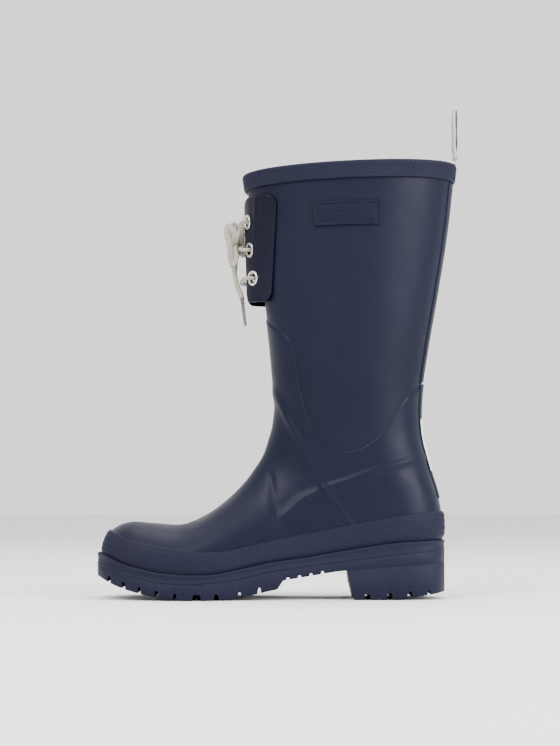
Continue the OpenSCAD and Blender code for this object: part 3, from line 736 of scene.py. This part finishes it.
make_bow("bow_loop_lateral", LOOP_LATERAL_ROUTE, "bow_loop_lateral")
make_bow("bow_loop_medial", LOOP_MEDIAL_ROUTE, "bow_loop_medial")
make_tail("lateral", TAIL_ROUTE, AGLET_TIP, "lace_end_lateral")
make_tail("medial", mirrored(TAIL_ROUTE), mirrored([AGLET_TIP])[0], "lace_end_medial")


def make_lacing():
    obj, _, _ = braid("lacing_braid", LACING_ROUTE, LACE_WIDTH - 0.3, LACE_FLAT - 0.2, up=(1, 0, 0.3))
    return finish_piece(obj, "boot", ["lacing"], paint("lace"))


def make_knot():
    """A wrap of lace round the crossing, and the wrap's turned-in end."""
    wrap = [[-32.6, -4.6, 283.6], [-34.6, -3.8, 284.8], [-36.6, -0.5, 285], [-36.8, 2.6, 283.6],
            [-34.8, 4.4, 281.4], [-32.2, 4.6, 279.2], [-33.4, 3.4, 277.4], [-36.2, 0.6, 277.2],
            [-37.0, -2.4, 278.6], [-36.0, -4.4, 281.2], [-33.6, -4.9, 282.4]]
    obj, _, _ = braid("lace_knot_braid", wrap, 5.0, 3.6, up=(0, 0, 1))
    core, _, _ = braid("lace_knot_core", [[-32.4, 0, 276.6], [-33.6, 0.2, 279.6], [-34, 0, 282.4],
                                           [-32.8, 0, 285.2]], 7.0, 5.4, up=(0, 1, 0))
    finish_piece(core, "boot", [], paint("lace"))
    return finish_piece(obj, "boot", ["lace_knot"], paint("lace"))


make_lacing()
make_knot()


# ---------------------------------------------------------------- the upper
COLUMNS = 360
FULL = np.linspace(0, 360, COLUMNS, endpoint=False)


# Moulded ridges that cross on the ankle, in side view, and the crease in front of them.
RIDGE_DOWN = [(-5, 170), (-1, 158), (7.5, 140), (21.5, 112), (35, 87), (46, 71), (57, 57)]
RIDGE_UP = [(113, 111.5), (94, 106), (75.5, 101), (55, 93), (35, 86.5), (17.5, 78), (3, 64)]
CREASE = [(-7, 99), (-4.5, 82), (-2.5, 68), (-1, 57)]


def ankle_relief(p):
    """Height of the moulded ridges and creases at points of the skin, fading at their ends."""
    x, z = p[..., 0], p[..., 2]
    relief = np.zeros(x.shape)
    for path, low, high in ((RIDGE_DOWN, 50, 166), (RIDGE_UP, 62, 112)):
        d = near_path(x, z, path)
        fade = step(low - 6, low + 10, z) * (1 - step(high - 6, high + 6, z))
        relief += fade * (1.3 * np.exp(-(d / 2.6) ** 2) - 0.22 * np.exp(-((d - 7) / 3.4) ** 2))
    d = near_path(x, z, CREASE)
    relief -= 0.85 * np.exp(-(d / 2.6) ** 2) * step(52, 64, z) * (1 - step(92, 104, z))
    return relief


def make_foot():
    rows = 200
    t = np.linspace(0, 1, rows)[:, None]
    t = t ** 0.92
    edge = foot_edge(FULL)[None, :]
    u = 0.02 + (edge - 0.02) * t
    base = skin(u, FULL[None, :])
    outward = normal(u, FULL[None, :])
    depth = FOOT_PROUD + 0.3 + ankle_relief(base)
    near_top = (edge - u) * 16
    depth = LEG_PROUD - 0.25 + (depth - LEG_PROUD + 0.25) * round_edge(near_top, 1.1)
    outer = base + outward * depth[..., None]
    u_in = 0.02 + (edge - 0.02) * np.linspace(0, 1, 40)[:, None]
    inner = layer(u_in, FULL[None, :], LINING_OUT + 0.05)
    obj = shell("foot_rubber", outer, inner, wrap=True, cap=True)
    return finish_piece(obj, "boot", ["foot_upper"], paint("foot"))


def make_leg():
    t = np.linspace(0, 1, 150)[:, None]
    edge = foot_edge(FULL)[None, :] - 0.12
    u = edge + (LAST - edge) * t
    outer = layer(u, FULL[None, :], LEG_PROUD)
    inner = layer(edge + (LAST - edge) * np.linspace(0, 1, 30)[:, None], FULL[None, :], LINING_OUT + 0.05)
    obj = shell("leg_rubber", outer, inner, wrap=True)
    return finish_piece(obj, "boot", ["leg_shaft"], paint("leg"))


def make_lining():
    t = np.linspace(0, 1, 170)[:, None]
    u = 0.05 + (LAST - 0.05) * t
    u = np.broadcast_to(u, (170, COLUMNS))
    outer = layer(u, FULL[None, :], LINING_OUT - 0.02)
    inner = layer(u, FULL[None, :], LINING_IN)
    obj = shell("lining_knit", outer, inner, wrap=True, cap=True)
    return finish_piece(obj, "boot", ["lining"], paint("lining"))


def make_strip(name, node, low, high, half, depth, thick, groove):
    """A strip down the back, its two edges rounded and a groove pressed beside each."""
    rows = 150
    f = 180 + half * np.linspace(-1, 1, 61)
    t = np.linspace(0, 1, rows)[:, None]
    u = low(f)[None, :] + (high(f)[None, :] - low(f)[None, :]) * t
    per_degree = 0.78
    from_side = (half - np.abs(f - 180)) * per_degree
    from_end = np.minimum(t, 1 - t) * 160
    e = np.minimum(from_side[None, :], from_end)
    ridge = groove * np.exp(-((from_side[None, :] - 2.2) / 0.7) ** 2)
    d = depth + thick * round_edge(e, 0.8) - ridge
    outer = layer(u, f[None, :], d)
    inner = layer(u, f[None, :], depth - 0.12)
    obj = shell(name, outer, inner)
    return finish_piece(obj, "boot", [node], paint("trim"))


def flat(value):
    return lambda f: np.full(np.shape(f), float(value))


make_foot()
make_leg()
make_lining()
make_strip("back_stay_strip", "back_stay", lambda f: foot_edge(f) + 0.03,
           flat(LAST - (BINDING + 0.3) / MM_PER_SECTION), STAY_HALF, LEG_PROUD, STRIP_THICK + 0.15, STAY_GROOVE)
make_strip("heel_stay_strip", "heel_stay", flat(HEEL_STAY_START), foot_edge, STAY_HALF,
           FOOT_PROUD + 0.25, STRIP_THICK, STAY_GROOVE)


def make_reflector():
    f = 180 + 16 * np.linspace(-1, 1, 41)
    t = np.linspace(0, 1, 61)[:, None]
    u = np.broadcast_to(13.9 + 1.5 * t, (61, 41))
    e = np.minimum(((16 - np.abs(f - 180)) * 0.75)[None, :], np.minimum(t, 1 - t) * 42)
    base = FOOT_PROUD + 0.25 + STRIP_THICK
    cells = 0.05 * knurl(f[None, :] * 0.75 / 2.4, t * 42 / 2.4)
    obj = shell("heel_reflector_film", layer(u, f[None, :], base + 0.5 * round_edge(e, 0.4) + cells),
                layer(u, f[None, :], base - 0.05))
    return finish_piece(obj, "boot", ["heel_reflector"], paint("film"))


make_reflector()


# ---------------------------------------------------------------- foxing and top binding
def make_foxing():
    """The knurled band round the foot: slanting ridges crossed by weaker ones, with a plain bead above."""
    count, rows = 1700, 46
    v = np.linspace(0, 1, rows)
    rings = []
    _, _, around = edge_ring(mix_lines(FOXING_FOOT, FOXING_TOP, 0.5), 8)
    pitch = around / round(around / 2.5)
    inner = FOOT_PROUD + 0.1
    for k in v:
        u, f, _ = edge_ring(mix_lines(FOXING_FOOT, FOXING_TOP, k), count)
        run = np.arange(count) / count * around
        height = k * 19.0
        ridges = 0.62 * saw(run / pitch + height / 2.1) + 0.38 * knurl(run / pitch, height / 4.2)
        knurled = step(0.10, 0.26, k) * (1 - step(0.88, 0.91, k))
        bulge = round_edge((1 - k) * 19, 1.3) * (0.72 + 0.28 * round_edge(k * 19, 5))
        bead = 0.35 * np.exp(-(((1 - k) * 19 - 1.0) / 0.55) ** 2)
        d = inner + (FOXING_THICK - 0.35) * bulge + knurled * 0.8 * ridges + bead
        rings.append(layer(u, f, d))
    outer = np.array(rings)
    inside = np.array([layer(*edge_ring(mix_lines(FOXING_FOOT, FOXING_TOP, k), count)[:2], inner - 0.2)
                       for k in (0, 1)])
    obj = shell("foxing_knurled", outer, inside, wrap=True)
    return finish_piece(obj, "boot", ["foxing_band"], paint("sole"))


def make_binding():
    """The rolled top band, its outer face knurled all over with small diamonds."""
    count = 960
    f = np.linspace(0, 360, count, endpoint=False)
    girth = layer(np.full(count + 1, LAST - 0.16), np.append(f, 360), 2)
    around = np.linalg.norm(np.diff(girth, axis=0), axis=1)
    run = np.concatenate([[0], np.cumsum(around)])[:-1]
    total = around.sum()
    pitch = total / round(total / 3.7)
    outer = LEG_PROUD + 2.0
    face = [(BINDING - h, None) for h in np.linspace(0.0, BINDING - 1.6, 40)]
    profile = [(BINDING + 0.1, LEG_PROUD - 0.1), (BINDING + 0.15, outer - 1.2), (BINDING, outer - 0.5),
               (BINDING - 0.4, outer - 0.05)]
    profile += [(h, outer) for h, _ in face[1:]]
    middle = (outer + LINING_IN - 1.0) / 2
    half = (outer - LINING_IN + 1.0) / 2
    profile += [(-1.1 - 3.5 * math.sin(a), middle + half * math.cos(a))
                for a in np.linspace(0.1, math.pi - 0.1, 16)]
    profile += [(h, LINING_IN - 1.0) for h in (3, 7, 11)] + [(12, LINING_IN - 0.6), (12, LINING_IN)]
    grid = []
    for h, d in profile:
        knurled = step(0.2, 1.6, h) * (1 - step(BINDING - 1.5, BINDING - 0.9, h)) * (d > outer - 0.1)
        points = knurl(run / pitch, h / 3.3) * 0.75 * knurled
        grid.append(layer(LAST - h / MM_PER_SECTION, f, d + points))
    grid = np.array(grid)
    obj = shell("top_binding_knurled", grid[::-1], grid[[-1, 0]][::-1] * 1.0, wrap=True)
    return finish_piece(obj, "boot", ["top_binding"], paint("sole"))


make_foxing()
make_binding()


# ---------------------------------------------------------------- badge
BADGE_ANGLES = (67.6, 106.0)
BADGE_SECTIONS = (19.02, 19.36)
BADGE_SIZE = (52.5, 17.0)
BADGE_RIM = 1.5


def make_badge():
    """A moulded plate that follows the leg: a raised rim round a sunk field with a wave motif."""
    cols, rows = 331, 109
    x = np.linspace(0, BADGE_SIZE[0], cols)[None, :]
    y = np.linspace(0, BADGE_SIZE[1], rows)[:, None]
    u = BADGE_SECTIONS[0] + (BADGE_SECTIONS[1] - BADGE_SECTIONS[0]) * y / BADGE_SIZE[1] + 0 * x
    f = BADGE_ANGLES[0] + (BADGE_ANGLES[1] - BADGE_ANGLES[0]) * x / BADGE_SIZE[0] + 0 * y
    e = np.minimum(np.minimum(x, BADGE_SIZE[0] - x), np.minimum(y, BADGE_SIZE[1] - y))
    sunk = step(BADGE_RIM - 0.25, BADGE_RIM + 0.25, e)
    swell = np.zeros(e.shape)
    for k, height in enumerate((5.2, 8.5, 11.8)):
        crest = height + 1.1 * np.sin((x - 3.2 * k) * 2 * math.pi / 9.6)
        swell = np.maximum(swell, 1 - step(0.35, 0.8, np.abs(y - crest)))
    swell *= step(4.2, 5.2, x) * (1 - step(BADGE_SIZE[0] - 5.2, BADGE_SIZE[0] - 4.2, x))
    d = LEG_PROUD + 2.2 * round_edge(e, 0.5) - 0.8 * sunk + 0.55 * swell
    obj = shell("badge_plate", layer(u, f, d), layer(u, f, LEG_PROUD - 0.1))
    return finish_piece(obj, "boot", ["badge"], paint("trim"))


make_badge()


# ---------------------------------------------------------------- lace flaps and eyelets
FLAP_THICK = 2.0
FLAP_Z = 275.5
FLAP_LOW = 41.5
FLAP_HIGH = 42.0
FLAP_REAR = (-4.0, 0.05)
FLAP_FRONT = (-26.3, -0.0275)
FLAP_APART = 8.5
FLAP_CURL = 62.0
FLAP_LEAN = 3.5
EYELET_SHARES = (0.634, 0.737, 0.808)
EYELET_PITCH = 22.5
EYELET_OUTER = 12.0
EYELET_BORE = 7.6
DRILLED = 8.8
FLAP_ACROSS = 34.0


def leg_half(x, z):
    """How far the leg's side is from the middle plane at a place in side view."""
    low, high = np.full(np.shape(x), 16.0), np.full(np.shape(x), float(LAST))
    for _ in range(26):
        u = (low + high) / 2
        s = section(u)
        above = s[..., 1] + (s[..., 3] - s[..., 1]) * (x - s[..., 0]) / (s[..., 2] - s[..., 0]) > z
        low, high = np.where(above, low, u), np.where(above, u, high)
    c = 1 - (x - s[..., 0]) / (s[..., 2] - s[..., 0]) / s[..., 6]
    return s[..., 4] * np.maximum(1 - np.abs(c) ** s[..., 7], 0) ** (1 / s[..., 7])


def flap_sheet(share, up):
    """The middle surface, an arc seen from above, and its outward direction."""
    share, up = np.broadcast_arrays(share, np.asarray(up, float))
    z = FLAP_Z + up
    x0, x1 = FLAP_REAR[0] + FLAP_REAR[1] * up, FLAP_FRONT[0] + FLAP_FRONT[1] * up
    y0 = leg_half(x0, z) + FLAP_THICK / 2
    chord = np.hypot(x1 - x0, y0 - FLAP_APART)
    curl = math.radians(FLAP_CURL)
    start = np.arctan2(y0 - FLAP_APART, x0 - x1) - curl / 2
    r = chord / 2 / math.sin(curl / 2)
    turn = start + curl * share
    x = x0 - r * (np.sin(turn) - np.sin(start))
    y = -y0 + r * (np.cos(start) - np.cos(turn))
    middle = np.stack([x, y, z], -1)
    return middle, np.stack([-np.sin(turn), -np.cos(turn), 0 * turn], -1), turn


def eyelet_frames():
    """Each eyelet's frame: x across the flap, y up it, z out of its face."""
    result = []
    for k, share in zip((-1, 0, 1), EYELET_SHARES):
        middle, _, turn = flap_sheet(np.array(share), np.array(k * EYELET_PITCH))
        result.append(Matrix.Translation(middle.tolist()) @ Matrix.Rotation(-float(turn), 4, "Z")
                      @ Matrix.Rotation(math.radians(90 + FLAP_LEAN), 4, "X"))
    return result


def make_flap(side, mirror):
    cols, rows = 170, 220
    a = np.linspace(0, 1, cols)
    share = a - 0.09 * np.sin(2 * math.pi * a)
    b = np.linspace(-1, 1, rows)
    b = b + 0.12 * np.sin(math.pi * b)
    shape = np.minimum(round_edge(share * FLAP_ACROSS, 8.5), round_edge((1 - share) * FLAP_ACROSS, 9.5))
    top, low = FLAP_HIGH - 9 * (1 - shape), FLAP_LOW - 9 * (1 - shape)
    up = np.where(b[:, None] > 0, top * b[:, None], low * b[:, None])
    share = share + 0 * up
    middle, out, _ = flap_sheet(share, up)
    for frame in eyelet_frames():
        centre, axis = np.array(frame.translation), np.array(frame.col[2])[:3]
        away = middle - centre
        rise = away @ axis
        reach = np.linalg.norm(away - rise[..., None] * axis, axis=-1)
        near = (1 - step(6.3, 9.5, reach)) * (np.abs(rise) < 8)
        middle = middle - axis * (rise * near)[..., None]
    e = np.minimum(np.minimum(share, 1 - share) * FLAP_ACROSS, np.minimum(top - up, up + low))
    half = FLAP_THICK / 2 * round_edge(e + 0.02, 1.0)
    crest = 0.55 * np.exp(-((share - 0.56 + 0.002 * up) / 0.05) ** 2) * round_edge(e, 6) * step(-30, 30, up)
    hollow = -0.45 * np.exp(-((share - 0.40) / 0.08) ** 2) * round_edge(e, 6)
    inner = middle - out * half[..., None]
    hug = leg_half(middle[..., 0], middle[..., 2]) - 0.3
    root = (1 - step(0.12, 0.24, share))[..., None]
    on_leg = np.stack([middle[..., 0], -hug, middle[..., 2]], -1)
    inner = inner * (1 - root) + on_leg * root
    obj = shell(f"flap_{side}_panel", middle + out * (half + crest + hollow)[..., None], inner)
    for frame in eyelet_frames():
        bore = [[DRILLED / 2 * math.cos(t), DRILLED / 2 * math.sin(t)]
                for t in np.linspace(0, 2 * math.pi, 40, endpoint=False)]
        drill = prism("drill", bore, -6, 6, "z")
        drill.data.transform(Matrix.Scale(1 / MM, 4))
        drill.data.transform(frame)
        drill.data.transform(Matrix.Scale(MM, 4))
        carve(obj, drill)
    shade_by_angle(obj, 50)
    if mirror:
        mirror_piece(obj)
    return finish_piece(obj, "boot", [f"flap_{side}"], paint("flap"))


def mirror_piece(obj):
    bm = bmesh.new()
    bm.from_mesh(obj.data)
    bmesh.ops.transform(bm, matrix=Matrix.Scale(-1, 4, (0, 1, 0)), verts=bm.verts)
    bmesh.ops.recalc_face_normals(bm, faces=bm.faces)
    bm.to_mesh(obj.data)
    bm.free()


def lathe(name, profile, frame, sides=64):
    """A ring turned about the axis of one eyelet, from a closed profile of radius and height."""
    turn = np.linspace(0, 2 * math.pi, sides, endpoint=False)
    m = np.array(frame)
    rings = []
    for t in turn:
        ring = np.array([[r * math.cos(t), r * math.sin(t), z] for r, z in profile])
        rings.append(ring @ m[:3, :3].T + m[:3, 3])
    return sweep(name, rings, closed=True)


def arc(cx, cz, r, a, b, steps):
    return [(cx + r * math.cos(t), cz + r * math.sin(t)) for t in np.radians(np.linspace(a, b, steps))]


def make_eyelets(side, mirror):
    bore, outer = EYELET_BORE / 2, EYELET_OUTER / 2
    crown = arc((bore + outer) / 2, 0.98, (outer - bore) / 2, 0, 180, 14)
    crown = [(r, 0.98 + (z - 0.98) * 0.55) for r, z in crown]
    profile = crown + [(bore, -1.9), (bore + 0.25, -2.35), (bore + 0.5, -2.2), (bore + 0.55, 0.9)]
    back = [(bore + 0.7, -1.05), (bore + 0.62, -1.5), (bore + 1.0, -1.72), (outer - 1.1, -1.72),
            (outer - 0.55, -1.5), (outer - 0.5, -1.05)]
    for kind, shape, node in (("eyelet", profile, "eyelets"), ("washer", back, "eyelet_washers")):
        for number, frame in enumerate(eyelet_frames()):
            obj = lathe(f"{kind}_{side}_{number}", shape, frame)
            if mirror:
                mirror_piece(obj)
            finish_piece(obj, "boot", [f"{node}_{side}"], paint("nickel"))


for flap_side, flap_mirror in (("lateral", False), ("medial", True)):
    make_flap(flap_side, flap_mirror)
    make_eyelets(flap_side, flap_mirror)


# ---------------------------------------------------------------- pull loop
LOOP_FOOT = (142.0, 352.7)
LOOP_HEIGHT = 38.5
LOOP_WIDTH = 20.0
TAPE = 1.9
TAPE_GAP = 1.0


def woven(name, path, width, thick, rib=0.10):
    """A woven tape along a path in side view, with rounded edges and slanting ribs on its faces."""
    path = spline([[x, 0, z] for x, z in path], 0.35)
    heading = np.gradient(path, axis=0)
    heading /= np.linalg.norm(heading, axis=1, keepdims=True)
    out = np.stack([heading[:, 2], 0 * heading[:, 0], -heading[:, 0]], 1)
    run = np.concatenate([[0], np.cumsum(np.linalg.norm(np.diff(path, axis=0), axis=1))])
    y = np.linspace(-width / 2, width / 2, 81)
    e = width / 2 - np.abs(y)
    half = thick / 2 * (0.45 + 0.55 * round_edge(e, 1.0))
    slanted = rib * (saw(y[None, :] / 1.3 + run[:, None] / 1.7) - 0.5)
    ribs = slanted + rib * 0.5 * (saw(run[:, None] / 0.9) - 0.5)
    rings = []
    for sign, order in ((1, slice(None)), (-1, slice(None, None, -1))):
        face = (path[:, None, :] + out[:, None, :] * (sign * (half[None, :] + ribs))[..., None]
                + np.array([0, 1.0, 0]) * y[None, :, None])
        rings.append(face[:, order])
    return sweep(name, np.concatenate(rings, axis=1))


def make_pull_loop():
    x, z = LOOP_FOOT
    r = (TAPE + TAPE_GAP) / 2
    top = z + LOOP_HEIGHT - TAPE / 2 - r
    legs = [(x - 0.55, z - 1.2), (x - 0.75, z + 2.5), (x - r - 0.05, z + 9), (x - r + 0.15, z + 18),
            (x - r - 0.1, z + 28), (x - r, top)]
    over = [(x + r * math.cos(a), top + r * math.sin(a)) for a in np.radians([150, 120, 90, 60, 30])]
    down = [(x + r, top), (x + r + 0.1, z + 28), (x + r - 0.1, z + 18), (x + r, z + 9), (x + 0.95, z + 2.5),
            (x + 0.7, z - 1.2)]
    obj = woven("pull_loop_tape", legs + over + down, LOOP_WIDTH, TAPE)
    return finish_piece(obj, "pull_tab", ["pull_loop"], paint("tape"))


def make_anchor():
    """The loop's root: it goes over the rim and down inside; its two rows of stitches are not drawn."""
    low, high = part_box("loop_anchor")
    x = LOOP_FOOT[0]
    inner = low[0] / MM + 0.7
    path = [(inner, low[2] / MM + 0.5), (inner + 1.0, low[2] / MM + 5), (inner + 2.2, high[2] / MM - 4),
            (inner + 4.3, high[2] / MM - 1.2), (x - 0.6, high[2] / MM - 0.9)]
    obj = woven("loop_anchor_tape", path, LOOP_WIDTH, 1.2, rib=0.08)
    return finish_piece(obj, "boot", ["loop_anchor"], paint("tape"))


make_pull_loop()
make_anchor()


# ---------------------------------------------------------------- welt, outsole and heel
HEEL_BREAST = 52.0
ARCH_START = -1.0
LUG_DEPTH = 4.4
ARCH_LUGS = 4
TOE_GAPS = [[-133.5, -131], [-122, -119], [-109, -106.5], [-96, -92.5], [-81.5, -78.5], [-67, -60],
            [-50.5, -46], [-33, -29], [-17, -14]]
HEEL_GAPS = [[65.5, 71], [83, 88], [99, 103.5], [115, 118]]
HEEL_TREAD = np.array([[58.5, 0], [79, 0], [96, 1.2], [118, 4], [140, 8]])


def sole_plan(count, grow):
    """The sole's outline seen from above: the foot of the foxing, moved out by grow."""
    u, f, _ = edge_ring(FOXING_FOOT, count)
    p = layer(u, f, FOOT_PROUD)[:, :2]
    for _ in range(6):
        p = (np.roll(p, 1, 0) + 2 * p + np.roll(p, -1, 0)) / 4
    run = np.roll(p, -1, 0) - np.roll(p, 1, 0)
    out = np.stack([run[:, 1], -run[:, 0]], 1)
    return p + grow * out / np.linalg.norm(out, axis=1, keepdims=True)


def make_welt():
    """The rim of the sole: a rounded lip above, a plain band, and a fine raised line along its foot."""
    count = 700
    profile = [(-5.2, 1.0, -0.3), (-3.4, 1.0, -0.25), (-2.6, 1.0, 0.1), (-1.8, 1.0, 0.45), (-0.9, 1.0, 0.5),
               (-0.25, 1.0, 0.25), (0.1, 1.0, -0.3), (0.22, 1.0, -0.9), (0.1, 1.0, -1.6), (-0.15, 1.0, -2.2),
               (-0.28, 1.0, -2.8), (-0.22, 0.55, 0), (-0.2, 0.12, 0.8), (-0.1, 0.0, 1.5), (0.2, 0.0, 1.2),
               (0.32, 0.0, 0.8), (0.2, 0.0, 0.4), (-0.1, 0.0, 0.0), (-5.2, 0.0, 0.0)]
    rings = []
    for out, share, lift in profile:
        p = sole_plan(count, SOLE_LEDGE + out)
        top, foot = line(FOXING_FOOT, p[:, 0]), line(WELT_FOOT, p[:, 0])
        rings.append(np.column_stack([p, foot + (top - foot) * share + lift]))
    obj = sweep("welt_rim", np.transpose(np.array(rings), (1, 0, 2)), closed=True)
    return finish_piece(obj, "boot", ["welt_strip"], paint("sole"))


def side_line(points, low, high, count=90):
    x = np.linspace(low, high, count)
    return np.stack([x, line(points, x)], 1)


def cut_gap(front, back, foot, top):
    """One gap between lugs, seen from the side: narrower at its top, with rounded corners."""
    width = back - front
    r, slant = min(1.1, width * 0.25), min(0.7, width * 0.14)
    outline = [(front - 0.3, foot - 9), (back + 0.3, foot - 9), (back, foot)]
    for middle, turns in ((back - slant - r, (0, 30, 60, 90)), (front + slant + r, (90, 120, 150, 180))):
        outline += [(middle + r * math.cos(a), top - r + r * math.sin(a)) for a in np.radians(turns)]
    outline += [(front, foot)]
    return prism("gap", outline, -80, 80, "y")


def join(objects):
    """Several meshes as one."""
    bm = bmesh.new()
    for obj in objects:
        bm.from_mesh(obj.data)
    for obj in objects[1:]:
        bpy.data.objects.remove(obj)
    bm.to_mesh(objects[0].data)
    bm.free()
    return objects[0]


def make_sole_part(name, node, outline, gaps):
    plan = sole_plan(420, SOLE_LEDGE)
    obj = prism(name, outline, -80, 80, "y")
    carve(obj, prism("plan", plan, -20, 70, "z"), "INTERSECT")
    carve(obj, join([cut_gap(*gap) for gap in gaps]))
    bevel(obj, 0.55, 2, 38)
    shade_by_angle(obj, 42)
    return finish_piece(obj, "boot", [node], paint("sole"))


def make_outsole():
    top = side_line(WELT_FOOT, -150, 140)
    tread = side_line(TREAD, -150, -3, 70)[::-1]
    outline = np.concatenate([top, [[140, 30], [HEEL_BREAST + 2, 23], [HEEL_BREAST - 8, 22],
                                    [ARCH_START + 4, 15.2], [ARCH_START, 9]], tread])
    gaps = [(a, b, float(line(TREAD, a)), float(line(TREAD, a)) + LUG_DEPTH + 0.3) for a, b in TOE_GAPS]
    pitch = (HEEL_BREAST - 16) / ARCH_LUGS
    gaps += [(5 + i * pitch, 5 + i * pitch + pitch * 0.4, 12.5 + 1.6 * i, 17.6 + 1.6 * i)
             for i in range(ARCH_LUGS)]
    return make_sole_part("outsole_lugged", "outsole", outline, gaps)


def make_heel():
    breast = [[HEEL_BREAST + 2.1, 22.9], [HEEL_BREAST + 3.5, 12]]
    outline = np.concatenate([breast, HEEL_TREAD, [[140, 29.9]]])
    gaps = [(a, b, float(np.interp(a, HEEL_TREAD[:, 0], HEEL_TREAD[:, 1])), 4.2 + 0.06 * (a - 60))
            for a, b in HEEL_GAPS]
    return make_sole_part("heel_block_lugged", "heel_block", outline, gaps)


make_welt()
make_outsole()
make_heel()


# ---------------------------------------------------------------- insole and the parts inside
def make_insole():
    """A cloth-faced footbed with a crowned top and rounded edges."""
    cols = 161
    f = np.linspace(135, 225, cols)[None, :]
    edge = foot_edge(f)
    start, end = edge * 3 / 22, edge * 15 / 22
    t = np.linspace(0, 1, 240)[:, None]
    u = start + (end - start) * t
    e = np.minimum((45 - np.abs(f - 180)) * 0.9, np.minimum(t, 1 - t) * 235)
    top = layer(u, f, LINING_IN - 2.2 - 4.5 * round_edge(e, 2.2))
    obj = shell("insole_footbed", layer(u, f, LINING_IN - 2.15), top)
    return finish_piece(obj, "boot", ["insole"], paint("insole"))


make_insole()
for part, finish in (("heel_core", "foam"), ("shank", "steel"), ("heel_counter", "canvas"),
                     ("toe_puff", "canvas"), ("insole_board", "board")):
    mesh = frame["nodes"][part].data
    mesh.materials.clear()
    mesh.materials.append(paint(finish))
